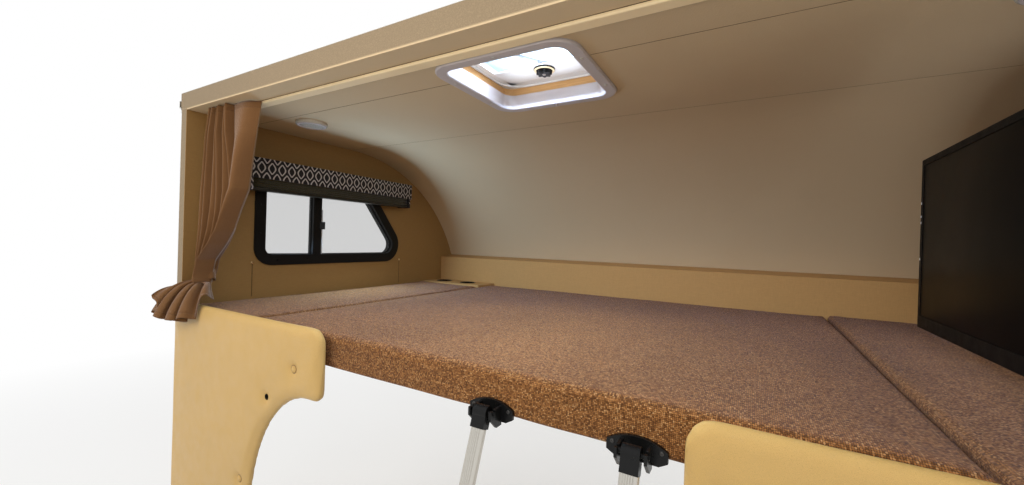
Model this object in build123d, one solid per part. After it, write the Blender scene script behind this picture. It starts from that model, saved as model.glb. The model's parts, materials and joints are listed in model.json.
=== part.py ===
"""Over-cab sleeping compartment of a motorhome.

The compartment sits on the roof of the driving cab and is open at the back, towards the living room. It
holds a bunk of three cushions, the middle one on a deck that lifts, a ladder that hooks on, a window in each
side wall, a roof vent, a television and the padded cheeks beside the way through to the cab.

Frame: millimetres, +X to the vehicle's right, +Y forwards, +Z up. The origin is on the underside of the
floor, on the centre line, where the floor seats on the cab roof. A size said to be ahead is measured forwards
from the compartment's rear edge, and one said to be over the bed is measured up from the cushions' top.
"""
import os
from math import asin, atan2, cos, degrees, radians, sin, sqrt

from build123d import *

# Gaps
FIT = 0.3  # between pieces that seat on each other
CLEAR = 5.0  # round what moves

# Shell: walls, roof and nose
HALF_INSIDE = 1230.0  # centre line to the inner face of a side wall
WALL = 40.0  # laminated side wall
SHELL = 60.0  # laminated roof and moulded nose
LINER = 4.0  # ceiling panels and curved liner
EAVE = 5.0  # roof and nose stand out past the side walls
FLOOR = 50.0  # floor thickness, its underside at the origin
SKIRT = 14.0  # walls and nose hang below the floor
REAR_Y = -1000.0  # where the compartment meets the living room
ROOM_HEIGHT = 698.0  # cushions' top to the ceiling
FLAT_CEILING = 712.0  # rear edge to where the ceiling starts to curve down
NOSE_RADIUS = 900.0  # inner face of the curved liner
CHIN = 24.0  # rounding of the nose's lower edge
CAP_EDGE = 30.0  # rounding of the nose's outer corners

# Ceiling, distances ahead
SEAM_AHEAD, SEAM_GAP = 226.0, 3.0  # joint between the two ceiling panels
TRIM_AHEAD, TRIM_WIDE, TRIM_DROP, TRIM_ROUND = 68.0, 34.0, 8.0, 4.0
LIGHT_AHEAD, LIGHT_IN = 305.0, 271.0  # lamp's middle, ahead and in from the wall
LIGHT_R, LIGHT_TALL, LIGHT_ROUND = 57.0, 12.0, 5.0

# Bunk
CUSHION = 75.0
BOARD = 12.0  # plywood under the cushions
SIDE_WIDE = 420.0  # wall to the inner edge of a side cushion
BUNK_AHEAD = 10.0  # back face of the lifting cushion
SOFT_EDGE = 14.0  # rounding of the cushions
BEARING = 40.0  # lifting deck's rest on the floor, each side
UPSTAND = 12.0  # board behind the cushions
UPSTAND_RISE = 146.0  # its front edge over the bed
SHELF_DEEP, SHELF_RISE = 106.0, 13.0  # sloping shelf on top, up to the liner's foot

# Hinge along the front of the lifting deck
KNUCKLE_R, HINGE_PIN_R = 5.0, 2.5
KNUCKLES = 9
HINGE_END = 85.0  # deck's edge to the end of the hinge
HINGE_LEAF, LEAF_FIXED, LEAF_MOVING = 26.0, 2.0, 0.8  # fixed leaf's depth, and both thicknesses

# Shelf with the cups, at the front left corner
LEDGE_DEEP = 170.0
CUPS_IN = (98.0, 278.0)  # from the wall
CUP_BACK = 78.0  # from the upstand
CUP_R, CUP_DEEP, CUP_WALL, CUP_RIM, CUP_RIM_TALL = 43.0, 58.0, 2.0, 5.0, 2.0

# Opening over the cab and the steel frame round it
OPENING_DEPTH = 760.0
FRAME_TUBE, FRAME_DROP = 30.0, 30.0

# Padded cheeks: an ear beside the bunk, an arch under it and a leg down to the living-room floor
CHEEK = 26.0
CHEEK_SOFT = 11.0
CHEEK_INNER = {"left": 402.0, "right": 459.0}  # centre line to the ear's inner edge
CHEEK_RISE = {"left": 18.0, "right": 6.0}  # over the bed
EAR_LOW = 172.0  # underside of the ear, below the bed
EAR_CORNER_TOP, EAR_CORNER_LOW = 45.0, 26.0
ARCH_START, ARCH_FALL = 38.0, 415.0  # the curve under the ear
HOUSE_DROP = 1430.0  # cushions' top down to the living-room floor

# Ladder
LADDER_X = 241.0
RAIL_SPACING = 285.0
LADDER_LEAN = 20.0  # degrees from upright, foot towards the living room
PIN_DROP, PIN_OUT, PIN_R = 70.0, 36.0, 4.0  # below the bed, behind the bunk's back face
RAIL_WIDE, RAIL_DEEP, RAIL_WALL = 32.0, 22.0, 2.0
FLUTE_XS, FLUTE_R = (-8.0, -4.0, 0.0, 4.0, 8.0), 0.8  # grooves along the rails' broad faces
RUNG_COUNT, RUNG_PITCH, RUNG_LIFT = 5, 255.0, 20.0
TREAD_DEEP, TREAD_TALL, TREAD_WALL = 58.0, 20.0, 2.5
TREAD_RIBS, TREAD_RIB_PITCH, TREAD_RIB_R = 7, 5.0, 1.2
RAIL_START = 30.0  # pin to the rails' upper ends
CAP_WIDE, CAP_DEEP, CAP_R, CAP_PLUG = 30.0, 20.0, 13.0, 25.0
FOOT_R, FOOT_TALL, FOOT_SOLE = 19.0, 40.0, 12.0
BRACKET_HALF, BRACKET_UP, BRACKET_DOWN, BRACKET_PLATE = 50.0, 15.0, 25.0, 7.0
BRACKET_CUT_X, BRACKET_CUT_Z = 14.0, 8.0  # cut lower corners
FIN, FIN_BACK, FIN_UP, FIN_DOWN = 5.0, 11.0, 7.0, 30.0

# Window: one outline for both sides, distances ahead and over the bed
WINDOW_REAR, WINDOW_SILL, WINDOW_HEAD = 243.0, 127.0, 515.0
WINDOW_TOE, WINDOW_BROW = 1140.0, 836.0  # slanting front edge at the sill and at the head
WINDOW_CORNER, TOE_CORNER = 75.0, 95.0
WINDOW_FACE = 45.0  # width of the black frame
WINDOW_TUCK = 20.0  # frame overlaps the wall by this much
WINDOW_PROUD = 6.0
MULLION_AHEAD, MULLION, MULLION_SET, MULLION_BACK = 507.0, 42.0, 4.0, 12.0
PANE, PANE_IN = 5.0, 18.0
LATCH_OVER, LATCH_TALL, LATCH_WIDE, LATCH_OUT, LATCH_REACH = 289.0, 35.0, 20.0, 12.0, 10.0

# Valance over each window, and the shade gathered under it
VALANCE_LAP, VALANCE_LONG = 63.0, 860.0  # past the window's rear edge
VALANCE_COVER, VALANCE_TALL = 37.0, 80.0  # below the window's head
VALANCE_OUT, VALANCE_BOARD = 100.0, 10.0
SHADE_DROP, SHADE_FRONT_GAP, SHADE_END_GAP = 48.0, 8.0, 4.0

# Curtain on the left, tied back: sections from the top down, each the gap to the wall, the width,
# the middle ahead, the depth and the height over the bed
CURTAIN_TOP = (109.0, 254.0, 28.0, 2.0)  # gap, width, depth and the drop below the ceiling
CURTAIN_SECTIONS = (
    (30.0, 295.0, 50.0, 40.0, 405.0),
    (30.0, 180.0, 45.0, 44.0, 220.0),
    (30.0, 100.0, 40.0, 46.0, 110.0),
    (30.0, 110.0, -40.0, 60.0, 60.0),
    (30.0, 160.0, -70.0, 64.0, 20.0),
    (33.0, 180.0, -78.0, 76.0, -50.0),
)
CURTAIN_CORNER = 10.0

# Roof vent
VENT_GAP = 5.0  # ceiling moulding to the vent's inner trim
VENT_HOLE, VENT_FRAMING = 360.0, 12.0  # width between the timber strips, and their thickness
HOLE_CORNER = 30.0
GARNISH_OUT, GARNISH_IN, GARNISH_LIP, GARNISH_SLEEVE = 400.0, 335.0, 8.0, 36.0
GARNISH_WALL, GARNISH_CORNER, GARNISH_BEVEL = 7.5, 34.0, 3.0
VENT_FLANGE, FLANGE_TALL, FLANGE_CORNER = 460.0, 3.0, 40.0
VENT_CURB, CURB_WALL, CURB_UNDER, CURB_OVER, CURB_CORNER = 352.0, 6.0, 3.0, 30.0, 70.0
LID, LID_RISE, LID_WALL, LID_GAP, LID_TAPER = 400.0, 42.0, 3.0, 8.0, 9.0
LID_CORNER, LID_ROUND = 34.0, 12.0
LID_RIB_LONG, LID_RIB_WIDE, LID_RIB_TALL = 300.0, 14.0, 6.0
LID_AXIS_OUT, LID_AXIS_UP, LID_BARREL_R, LID_PIN_R = 8.0, 14.0, 5.0, 2.9
LUG_XS, LUG_WIDE = (70.0, 124.0), 16.0
SCREEN_UP, SCREEN_FRAME, SCREEN_RIM, SCREEN_MESH = 3.0, 4.0, 22.0, 1.0
CRANK_X, CRANK_AHEAD = 4.0, 80.0  # from the vent's middle
CASE_R, CASE_TALL, KNOB_R, KNOB_TALL, KNOB_LOBES, LOBE_R = 31.0, 4.0, 22.5, 12.0, 8, 6.0
GEAR_R, GEAR_TALL = 20.0, 12.0
ARM_WIDE, ARM_THICK, ARM_JOINTS = 12.0, 3.0, ((-70.0, -40.0), (10.0, -110.0))  # lift arm's pivots

# Television on its tilting arm
TV_IN = 315.0  # wall to the screen
TV_DEEP, TV_WIDE, TV_TALL = 46.0, 730.0, 430.0
TV_AHEAD, TV_OVER = 38.0, 70.0
TV_ROUND, TV_BEZEL, TV_CHIN, TV_RECESS = 14.0, 15.0, 31.0, 2.0
PIVOT_BACK, PIVOT_R, PIVOT_HUB_R, EAR_HALF, EAR_THICK = 22.0, 6.0, 14.0, 42.0, 6.0
VESA_PLATE = (4.0, 220.0, 200.0)
ARM_PLATE = (8.0, 110.0, 200.0)  # on the wall
POST_AHEAD, POST_OUT, POST_R, POST_TALL = 150.0, 22.0, 15.0, 60.0
ARM_BAR, ARM_HEAD_R = (24.0, 26.0), 12.0

# Outside: marker lamps and gutters
MARKER_END, MARKER_PITCH, MARKER_ANGLE = 175.0, 200.0, 62.0
MARKER_SIZE, MARKER_ROUND = (76.0, 28.0, 16.0), 7.0
GUTTER_UP, GUTTER_TALL, GUTTER_OUT, GUTTER_WALL = 8.0, 26.0, 14.0, 3.0

# Places that follow from the sizes above
BED_TOP = FLOOR + FIT + BOARD + CUSHION
DECK_TOP = BED_TOP - CUSHION
CEILING = BED_TOP + ROOM_HEIGHT
ROOF_UNDER = CEILING + LINER
ROOF_TOP = ROOF_UNDER + SHELL
NOSE_Y, NOSE_Z = REAR_Y + FLAT_CEILING, CEILING - NOSE_RADIUS
SKIN_IN = NOSE_RADIUS + LINER
SKIN_OUT = SKIN_IN + SHELL
LINER_HALF = HALF_INSIDE - FIT
HALF_OUTSIDE = HALF_INSIDE + WALL + EAVE
SIDE_INNER = HALF_INSIDE - SIDE_WIDE
BUNK_HALF = SIDE_INNER - CLEAR
BUNK_REAR_Y = REAR_Y + BUNK_AHEAD
OPENING_HALF = BUNK_HALF - BEARING
HOUSE_FLOOR = BED_TOP - HOUSE_DROP
UPSTAND_TOP = BED_TOP + UPSTAND_RISE
LINER_FOOT = UPSTAND_TOP + SHELF_RISE
VENT_Y = REAR_Y + TRIM_AHEAD + TRIM_WIDE + VENT_GAP + GARNISH_OUT / 2
SCREEN_Z = ROOF_TOP - CURB_UNDER + SCREEN_UP
TV_X = HALF_INSIDE - TV_IN
TV_Y = REAR_Y + TV_AHEAD + TV_WIDE / 2
TV_Z = BED_TOP + TV_OVER + TV_TALL / 2
PIVOT_X = TV_X + TV_DEEP + PIVOT_BACK
PIN_Y, PIN_Z = BUNK_REAR_Y - PIN_OUT, BED_TOP - PIN_DROP
FIN_GAP = RAIL_WIDE + 2 * CLEAR
SIDES = ("left", "right")


def nose_y(radius, z):
    """Where the nose's arc of that radius lies at height z."""
    return NOSE_Y + sqrt(radius**2 - (z - NOSE_Z) ** 2)


UPSTAND_Y = nose_y(NOSE_RADIUS, LINER_FOOT) - SHELF_DEEP
HINGE_Y = UPSTAND_Y - LEAF_FIXED - HINGE_LEAF - KNUCKLE_R - 1
HINGE_Z = FLOOR + KNUCKLE_R + 1
HINGE_HALF = BUNK_HALF - HINGE_END
DECK_FRONT = HINGE_Y - KNUCKLE_R - 1
LEDGE_Y = UPSTAND_Y - LEDGE_DEEP
LADDER_LONG = (PIN_Z - HOUSE_FLOOR - FOOT_R * sin(radians(LADDER_LEAN))) / cos(radians(LADDER_LEAN))
RAIL_END = LADDER_LONG - FOOT_SOLE


# Helpers


def block(x0, x1, y0, y1, z0, z1):
    """A box between two corners."""
    size = (x1 - x0, y1 - y0, z1 - z0)
    return Pos((x0 + x1) / 2, (y0 + y1) / 2, (z0 + z1) / 2) * Box(*size)


def barrel(x0, x1, y, z, radius):
    """A round bar along X."""
    return Pos((x0 + x1) / 2, y, z) * Rot(0, 90, 0) * Cylinder(radius, x1 - x0)


def across(profile, half_width):
    """Extrudes a side-view face (sketch x is y, sketch y is z) to both sides of the centre line."""
    return extrude(Plane.YZ * profile, amount=half_width, both=True)


def slab(profile, near, far):
    """Extrudes a side-view face between two distances to the right of the centre line."""
    return extrude(Plane.YZ.offset(near) * profile, amount=far - near)


def on_side(shape, side):
    """Takes a piece drawn on the right to its side."""
    return shape if side == "right" else mirror(shape, Plane.YZ)


# Shell


def side_profile(radius, bottom):
    """The compartment's outline in the side view, inside an arc of that radius."""
    top = NOSE_Z + radius
    foot = (nose_y(radius, bottom), bottom)
    half = radians((90.0 + degrees(asin((bottom - NOSE_Z) / radius))) / 2)
    middle = (NOSE_Y + radius * cos(half), NOSE_Z + radius * sin(half))
    edges = [
        Line((REAR_Y, bottom), (REAR_Y, top)),
        Line((REAR_Y, top), (NOSE_Y, top)),
        ThreePointArc((NOSE_Y, top), middle, foot),
        Line(foot, (REAR_Y, bottom)),
    ]
    return make_face(edges)


def nose_band(inner, outer, bottom):
    """The curved band between two arcs of the nose, down to a height."""
    band = side_profile(outer, bottom) - side_profile(inner, bottom)
    return band & (Pos(NOSE_Y + SKIN_OUT, bottom) * Rectangle(2 * SKIN_OUT, 4 * SKIN_OUT))


def floor_panel():
    """Floor with the opening over the cab, open to the rear."""
    panel = across(side_profile(SKIN_IN - FIT, 0), LINER_HALF)
    panel &= block(-LINER_HALF, LINER_HALF, REAR_Y, NOSE_Y + SKIN_OUT, 0, FLOOR)
    return panel - block(-OPENING_HALF, OPENING_HALF, REAR_Y - 1, REAR_Y + OPENING_DEPTH, -1, FLOOR + 1)


def opening_frame():
    """Steel tube round the opening in the floor."""
    front = REAR_Y + OPENING_DEPTH
    outer = block(-OPENING_HALF, OPENING_HALF, REAR_Y, front, -FRAME_DROP, FLOOR)
    inner_half = OPENING_HALF - FRAME_TUBE
    return outer - block(-inner_half, inner_half, REAR_Y - 1, front - FRAME_TUBE, -FRAME_DROP - 1, FLOOR + 1)


def side_wall(side):
    """Laminated side wall with its window cut out."""
    sheet = side_profile(SKIN_IN - FIT, -SKIRT) - window_outline(WINDOW_TUCK)
    return on_side(slab(sheet, HALF_INSIDE, HALF_INSIDE + WALL), side)


def vent_plug(grow):
    """What the vent's hole takes out of the roof and ceiling, larger than the hole by grow all round."""
    size = VENT_HOLE + 2 * grow
    plug = extrude(RectangleRounded(size, size, HOLE_CORNER + grow), amount=LINER + SHELL + 2)
    return Pos(0, VENT_Y, CEILING - 1) * plug


def roof_panel():
    """Flat roof with the hole for the vent."""
    panel = block(-HALF_OUTSIDE, HALF_OUTSIDE, REAR_Y, NOSE_Y, ROOF_UNDER, ROOF_TOP)
    return panel - vent_plug(VENT_FRAMING + FIT)


def nose_cap():
    """Moulded nose: one curved shell from the roof down to the chin, with soft outer corners."""
    cap = across(nose_band(SKIN_IN, SKIN_OUT, -SKIRT), HALF_OUTSIDE)
    chin = cap.edges().filter_by(Axis.X).sort_by(Axis.Y)[-1]
    cap = fillet(chin, CHIN)
    sides = [e for e in cap.edges() if e.geom_type == GeomType.CIRCLE and abs(e.radius - SKIN_OUT) < 1]
    return fillet(sides, CAP_EDGE)


def nose_liner():
    """Curved ceiling liner, from the flat ceiling down to the shelf."""
    return across(nose_band(NOSE_RADIUS, SKIN_IN - FIT, LINER_FOOT + FIT), LINER_HALF)


def drip_rails():
    """Gutter along each side of the roof."""
    outer = HALF_OUTSIDE + GUTTER_OUT
    low = ROOF_UNDER + GUTTER_UP
    rail = block(HALF_OUTSIDE, outer, REAR_Y, NOSE_Y, low, low + GUTTER_TALL)
    rail -= block(HALF_OUTSIDE, outer - GUTTER_WALL, REAR_Y - 1, NOSE_Y + 1, low + GUTTER_WALL, ROOF_TOP)
    return [on_side(rail, side) for side in SIDES]


def marker_lights():
    """Five marker lamps across the top of the nose."""
    turn, reach = radians(MARKER_ANGLE), SKIN_OUT + FIT
    y, z = NOSE_Y + reach * cos(turn), NOSE_Z + reach * sin(turn)
    lamp = Pos(0, 0, MARKER_SIZE[2] / 2) * Box(*MARKER_SIZE)
    lamp = fillet(lamp.edges().filter_by(Axis.Z), MARKER_ROUND)
    lamp = chamfer(lamp.edges().group_by(Axis.Z)[-1], MARKER_ROUND / 2)
    end = HALF_OUTSIDE - MARKER_END
    xs = (-end, -MARKER_PITCH, 0.0, MARKER_PITCH, end)
    return [Location((x, y, z), (MARKER_ANGLE - 90, 0, 0)) * lamp for x in xs]


# Ceiling


def ceiling_panels():
    """Two flat ceiling panels with a seam between them, cut for the vent."""
    seam = REAR_Y + SEAM_AHEAD
    hole = vent_plug(0)
    spans = [(REAR_Y, seam - SEAM_GAP / 2), (seam + SEAM_GAP / 2, NOSE_Y - SEAM_GAP)]
    return [block(-LINER_HALF, LINER_HALF, y0, y1, CEILING, ROOF_UNDER) - hole for y0, y1 in spans]


def ceiling_trim():
    """Moulding with the curtain track, across the ceiling."""
    rear = REAR_Y + TRIM_AHEAD
    bar = block(-LINER_HALF, LINER_HALF, rear, rear + TRIM_WIDE, CEILING - TRIM_DROP, CEILING)
    return fillet(bar.edges().filter_by(Axis.X).group_by(Axis.Z)[0], TRIM_ROUND)


def ceiling_lights():
    """Two round lamps in the ceiling."""
    x = HALF_INSIDE - LIGHT_IN
    lamp = Pos(x, REAR_Y + LIGHT_AHEAD, CEILING - LIGHT_TALL / 2) * Cylinder(LIGHT_R, LIGHT_TALL)
    lamp = fillet(lamp.edges().group_by(Axis.Z)[0], LIGHT_ROUND)
    return [on_side(lamp, side) for side in SIDES]


# Bunk


def upstand():
    """Board behind the cushions with a sloping shelf on top, bent in one, that reaches the liner's foot."""
    reach = nose_y(SKIN_IN - FIT, LINER_FOOT)
    back = UPSTAND_Y + UPSTAND
    points = [
        (UPSTAND_Y, FLOOR),
        (UPSTAND_Y, UPSTAND_TOP),
        (reach, LINER_FOOT),
        (reach, LINER_FOOT - UPSTAND),
        (back, UPSTAND_TOP - UPSTAND),
        (back, FLOOR),
    ]
    return across(make_face(Polyline(*points, close=True)), LINER_HALF)


def cup_places():
    """The middle of each cup: x and y."""
    return [(inward - HALF_INSIDE, UPSTAND_Y - CUP_BACK) for inward in CUPS_IN]


def cup_ledge():
    """Fixed shelf at the front left corner with two holes for the cups."""
    shelf = block(-LINER_HALF, -SIDE_INNER, LEDGE_Y, UPSTAND_Y, DECK_TOP, BED_TOP)
    for x, y in cup_places():
        shelf -= Pos(x, y, BED_TOP - CUP_DEEP / 2) * Cylinder(CUP_R + FIT, CUP_DEEP + 2 * FIT)
    return shelf


def cup_holders():
    """Two moulded cups, each with a rim that sits on the shelf."""
    bore = CUP_R - CUP_WALL
    points = [
        (0, -CUP_DEEP),
        (CUP_R, -CUP_DEEP),
        (CUP_R, 0),
        (CUP_R + CUP_RIM, 0),
        (CUP_R + CUP_RIM, CUP_RIM_TALL),
        (bore, CUP_RIM_TALL),
        (bore, CUP_WALL - CUP_DEEP),
        (0, CUP_WALL - CUP_DEEP),
    ]
    cup = revolve(Plane.XZ * make_face(Polyline(*points, close=True)), Axis.Z)
    return [Pos(x, y, BED_TOP + FIT) * cup for x, y in cup_places()]


def soft_box(x0, x1, y0, y1):
    """A cushion's block with its upright and upper edges rounded."""
    body = block(x0, x1, y0, y1, DECK_TOP, BED_TOP)
    return fillet(body.edges().filter_by(Axis.Z) + body.edges().group_by(Axis.Z)[-1], SOFT_EDGE)


def centre_cushion():
    """Wide cushion with a lip that covers the back edge of its deck."""
    cushion = soft_box(-BUNK_HALF, BUNK_HALF, BUNK_REAR_Y, DECK_FRONT - 2)
    lip_half = BUNK_HALF - SOFT_EDGE
    return cushion + block(-lip_half, lip_half, BUNK_REAR_Y, BUNK_REAR_Y + BOARD, FLOOR + FIT, DECK_TOP)


def centre_deck():
    """Plywood that carries the wide cushion and rests on the floor round the opening."""
    return block(-BUNK_HALF, BUNK_HALF, BUNK_REAR_Y + BOARD, DECK_FRONT, FLOOR + FIT, DECK_TOP)


def side_board(side):
    """Fixed plywood under a side cushion."""
    return on_side(block(SIDE_INNER, LINER_HALF, REAR_Y, UPSTAND_Y, FLOOR, DECK_TOP), side)


def side_cushion(side):
    """Narrow cushion between the wide one and the wall."""
    front = LEDGE_Y if side == "left" else UPSTAND_Y
    return on_side(soft_box(SIDE_INNER, LINER_HALF - 1, REAR_Y + 2, front - 1), side)


# Lifting deck's hinge


def knuckle_spans(first):
    """Ends of every other barrel of the hinge, from the first."""
    pitch = 2 * HINGE_HALF / KNUCKLES
    starts = [pitch * i - HINGE_HALF for i in range(first, KNUCKLES, 2)]
    return [(x + 0.5, x + pitch - 0.5) for x in starts]


def hinge_fixed():
    """Hinge leaf on the floor with its barrels and pin."""
    start = HINGE_Y + KNUCKLE_R + 1
    leaf = block(-HINGE_HALF, HINGE_HALF, start, start + HINGE_LEAF, FLOOR, FLOOR + LEAF_FIXED)
    leaf += barrel(-HINGE_HALF, HINGE_HALF, HINGE_Y, HINGE_Z, HINGE_PIN_R)
    for x0, x1 in knuckle_spans(0):
        leaf += barrel(x0, x1, HINGE_Y, HINGE_Z, KNUCKLE_R)
        leaf += block(x0, x1, HINGE_Y, start, FLOOR, FLOOR + LEAF_FIXED)
    return leaf


def hinge_moving():
    """Hinge leaf on the deck's front edge with its barrels."""
    leaf = block(-HINGE_HALF, HINGE_HALF, DECK_FRONT, DECK_FRONT + LEAF_MOVING, FLOOR + 1, DECK_TOP - 1)
    for x0, x1 in knuckle_spans(1):
        leaf += block(x0, x1, DECK_FRONT, HINGE_Y - HINGE_PIN_R - 1, HINGE_Z - 2, HINGE_Z + 2)
        leaf += barrel(x0, x1, HINGE_Y, HINGE_Z, KNUCKLE_R)
    return leaf - barrel(-HINGE_HALF - 1, HINGE_HALF + 1, HINGE_Y, HINGE_Z, HINGE_PIN_R + 0.1)


# Ladder


def rail_xs():
    """Where the two ladder rails stand."""
    return (LADDER_X - RAIL_SPACING / 2, LADDER_X + RAIL_SPACING / 2)


def ladder_bracket():
    """Arched plate with two slotted fins that the ladder's pin drops into. Its origin is the pin."""
    half, cut = BRACKET_HALF, BRACKET_HALF - BRACKET_CUT_X
    low, shoulder = -BRACKET_DOWN, BRACKET_CUT_Z - BRACKET_DOWN
    skirt = [(half, 0), (half, shoulder), (cut, low), (-cut, low), (-half, shoulder), (-half, 0)]
    edges = [ThreePointArc((-half, 0), (0, BRACKET_UP), (half, 0)), Polyline(*skirt)]
    bracket = extrude(Plane.XZ.offset(-PIN_OUT) * make_face(edges), amount=BRACKET_PLATE)
    slot_r = PIN_R + FIT
    for near in (-FIN_GAP / 2 - FIN, FIN_GAP / 2):
        fin = block(near, near + FIN, -FIN_BACK, PIN_OUT - BRACKET_PLATE, -FIN_DOWN, FIN_UP)
        tip = fin.edges().filter_by(Axis.X).group_by(Axis.Y)[0].sort_by(Axis.Z)[0]
        fin = chamfer(tip, FIN_DOWN - 2 * slot_r, length2=2 * FIN_BACK)
        fin -= block(near, near + FIN, -slot_r, slot_r, 0, FIN_UP)
        bracket += fin - barrel(near, near + FIN, 0, 0, slot_r)
    return bracket


def ladder_brackets():
    """Both brackets on the bunk's back face."""
    return [Pos(x, PIN_Y, PIN_Z) * ladder_bracket() for x in rail_xs()]


def leaned(shape, x=LADDER_X):
    """Takes a piece drawn upright under the pin to its place on the leaning ladder."""
    return Location((x, PIN_Y, PIN_Z), (-LADDER_LEAN, 0, 0)) * shape


def ladder_rails():
    """Two oval tubes, fluted along their broad faces."""
    half_x, half_y = RAIL_WIDE / 2, RAIL_DEEP / 2
    section = Ellipse(half_x, half_y)
    for x in FLUTE_XS:
        y = half_y * sqrt(1 - (x / half_x) ** 2)
        section -= Pos(x, y) * Circle(FLUTE_R)
        section -= Pos(x, -y) * Circle(FLUTE_R)
    section -= Ellipse(half_x - RAIL_WALL, half_y - RAIL_WALL)
    rail = Pos(0, 0, -RAIL_END) * extrude(section, amount=RAIL_END - RAIL_START)
    return [leaned(rail, x) for x in rail_xs()]


def ladder_rungs():
    """Flat treads between the rails, each a hollow bar with a ribbed top, set level."""
    length = RAIL_SPACING - RAIL_WIDE - 2 * FIT
    bar = SlotOverall(TREAD_DEEP, TREAD_TALL)
    bar -= SlotOverall(TREAD_DEEP - 2 * TREAD_WALL, TREAD_TALL - 2 * TREAD_WALL)
    for i in range(TREAD_RIBS):
        bar -= Pos((i - (TREAD_RIBS - 1) / 2) * TREAD_RIB_PITCH, TREAD_TALL / 2) * Circle(TREAD_RIB_R)
    tread = Rot(LADDER_LEAN, 0, 0) * extrude(Plane.YZ.offset(-length / 2) * bar, amount=length)
    drops = [LADDER_LONG - RUNG_PITCH * (RUNG_COUNT - i) + RUNG_LIFT for i in range(RUNG_COUNT)]
    return [leaned(Pos(0, 0, -drop) * tread) for drop in drops]


def ladder_caps():
    """Plastic top caps, each with a plug into its rail and the pin that hangs in its bracket."""
    head = barrel(-CAP_WIDE / 2, CAP_WIDE / 2, 0, 0, CAP_R)
    head += Pos(0, 0, -RAIL_START / 2) * Box(CAP_WIDE, CAP_DEEP, RAIL_START)
    plug = Ellipse(RAIL_WIDE / 2 - RAIL_WALL - FIT, RAIL_DEEP / 2 - RAIL_WALL - FIT)
    head += Pos(0, 0, -RAIL_START - CAP_PLUG) * extrude(plug, amount=CAP_PLUG + 1)
    reach = FIN_GAP / 2 + FIN + 2
    head += barrel(-reach, reach, 0, 0, PIN_R)
    return [leaned(head, x) for x in rail_xs()]


def ladder_feet():
    """Rubber feet round the rails' lower ends."""
    boot = Pos(0, 0, FOOT_TALL / 2 - LADDER_LONG) * Cylinder(FOOT_R, FOOT_TALL)
    bore = Ellipse(RAIL_WIDE / 2 + FIT, RAIL_DEEP / 2 + FIT)
    boot -= Pos(0, 0, -RAIL_END - FIT) * extrude(bore, amount=FOOT_TALL)
    return [leaned(boot, x) for x in rail_xs()]


# Cheeks and curtain


def cheek(side):
    """Padded panel: an ear beside the bunk, an arch under it and a leg down to the floor."""
    inner, top = CHEEK_INNER[side], BED_TOP + CHEEK_RISE[side]
    low = BED_TOP - EAR_LOW
    leg, wall = OPENING_HALF - FRAME_TUBE, LINER_HALF - 2
    arch_x, arch_z = inner + ARCH_START, low - ARCH_FALL
    edges = [
        Polyline((arch_x, low), (inner, low), (inner, top), (wall, top), (wall, HOUSE_FLOOR)),
        Polyline((wall, HOUSE_FLOOR), (leg, HOUSE_FLOOR), (leg, arch_z)),
        EllipticalCenterArc((arch_x, arch_z), leg - arch_x, ARCH_FALL, 0, arc_size=90),
    ]
    outline = make_face(edges)
    for z, radius in ((top, EAR_CORNER_TOP), (low, EAR_CORNER_LOW)):
        corner = [v for v in outline.vertices() if abs(v.X - inner) < 1 and abs(v.Y - z) < 1]
        outline = fillet(corner, radius)
    panel = extrude(Plane.XZ.offset(FIT - REAR_Y) * outline, amount=CHEEK)
    return on_side(fillet(panel.edges().group_by(Axis.Y)[0], CHEEK_SOFT), side)


def curtain():
    """Gathered curtain on the left, tied above the cheek, with its tail hanging behind it."""
    gap, wide, deep, drop = CURTAIN_TOP
    sections = [(gap, wide, TRIM_AHEAD - FIT - deep / 2, deep, ROOM_HEIGHT - drop), *CURTAIN_SECTIONS]
    faces = []
    for gap, wide, ahead, deep, over in sections:
        middle = Pos(gap + wide / 2 - HALF_INSIDE, REAR_Y + ahead, BED_TOP + over)
        faces.append(middle * RectangleRounded(wide, deep, CURTAIN_CORNER))
    return loft(faces, ruled=True)


# Windows


def window_outline(inset):
    """The window's outline in the side view, taken in by inset."""
    corners = [
        (WINDOW_REAR, WINDOW_SILL),
        (WINDOW_TOE, WINDOW_SILL),
        (WINDOW_BROW, WINDOW_HEAD),
        (WINDOW_REAR, WINDOW_HEAD),
    ]
    shape = make_face(Polyline(*[(REAR_Y + y, BED_TOP + z) for y, z in corners], close=True))
    shape = fillet(shape.vertices().sort_by(Axis.X)[:-1], WINDOW_CORNER)
    shape = fillet(shape.vertices().sort_by(Axis.X)[-1], TOE_CORNER)
    return offset(shape, -inset) if inset else shape


def mullion_strip(margin):
    """The upright bar's strip in the side view, wider by a margin each side and taller than the window."""
    tall = 2 * (WINDOW_HEAD - WINDOW_SILL)
    middle = (REAR_Y + MULLION_AHEAD + MULLION / 2, BED_TOP + (WINDOW_SILL + WINDOW_HEAD) / 2)
    return Pos(*middle) * Rectangle(MULLION + 2 * margin, tall)


def window_frame(side):
    """Black frame: a flange on each face of the wall, the body through it and the mullion."""
    hole = window_outline(WINDOW_FACE)
    inside, outside = HALF_INSIDE - WINDOW_PROUD, HALF_INSIDE + WALL + WINDOW_PROUD
    frame = slab(window_outline(0) - hole, inside, HALF_INSIDE)
    frame += slab(window_outline(WINDOW_TUCK + FIT) - hole, HALF_INSIDE, HALF_INSIDE + WALL)
    frame += slab(window_outline(WINDOW_TUCK / 2) - hole, HALF_INSIDE + WALL, outside)
    frame += slab(hole & mullion_strip(0), inside + MULLION_SET, outside - MULLION_BACK)
    return on_side(frame, side)


def window_glass(side):
    """Two panes between the frame's edges and the mullion."""
    panes = window_outline(WINDOW_FACE + FIT) - mullion_strip(FIT)
    near = HALF_INSIDE + PANE_IN
    return [on_side(pane, side) for pane in slab(panes, near, near + PANE).solids()]


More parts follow.
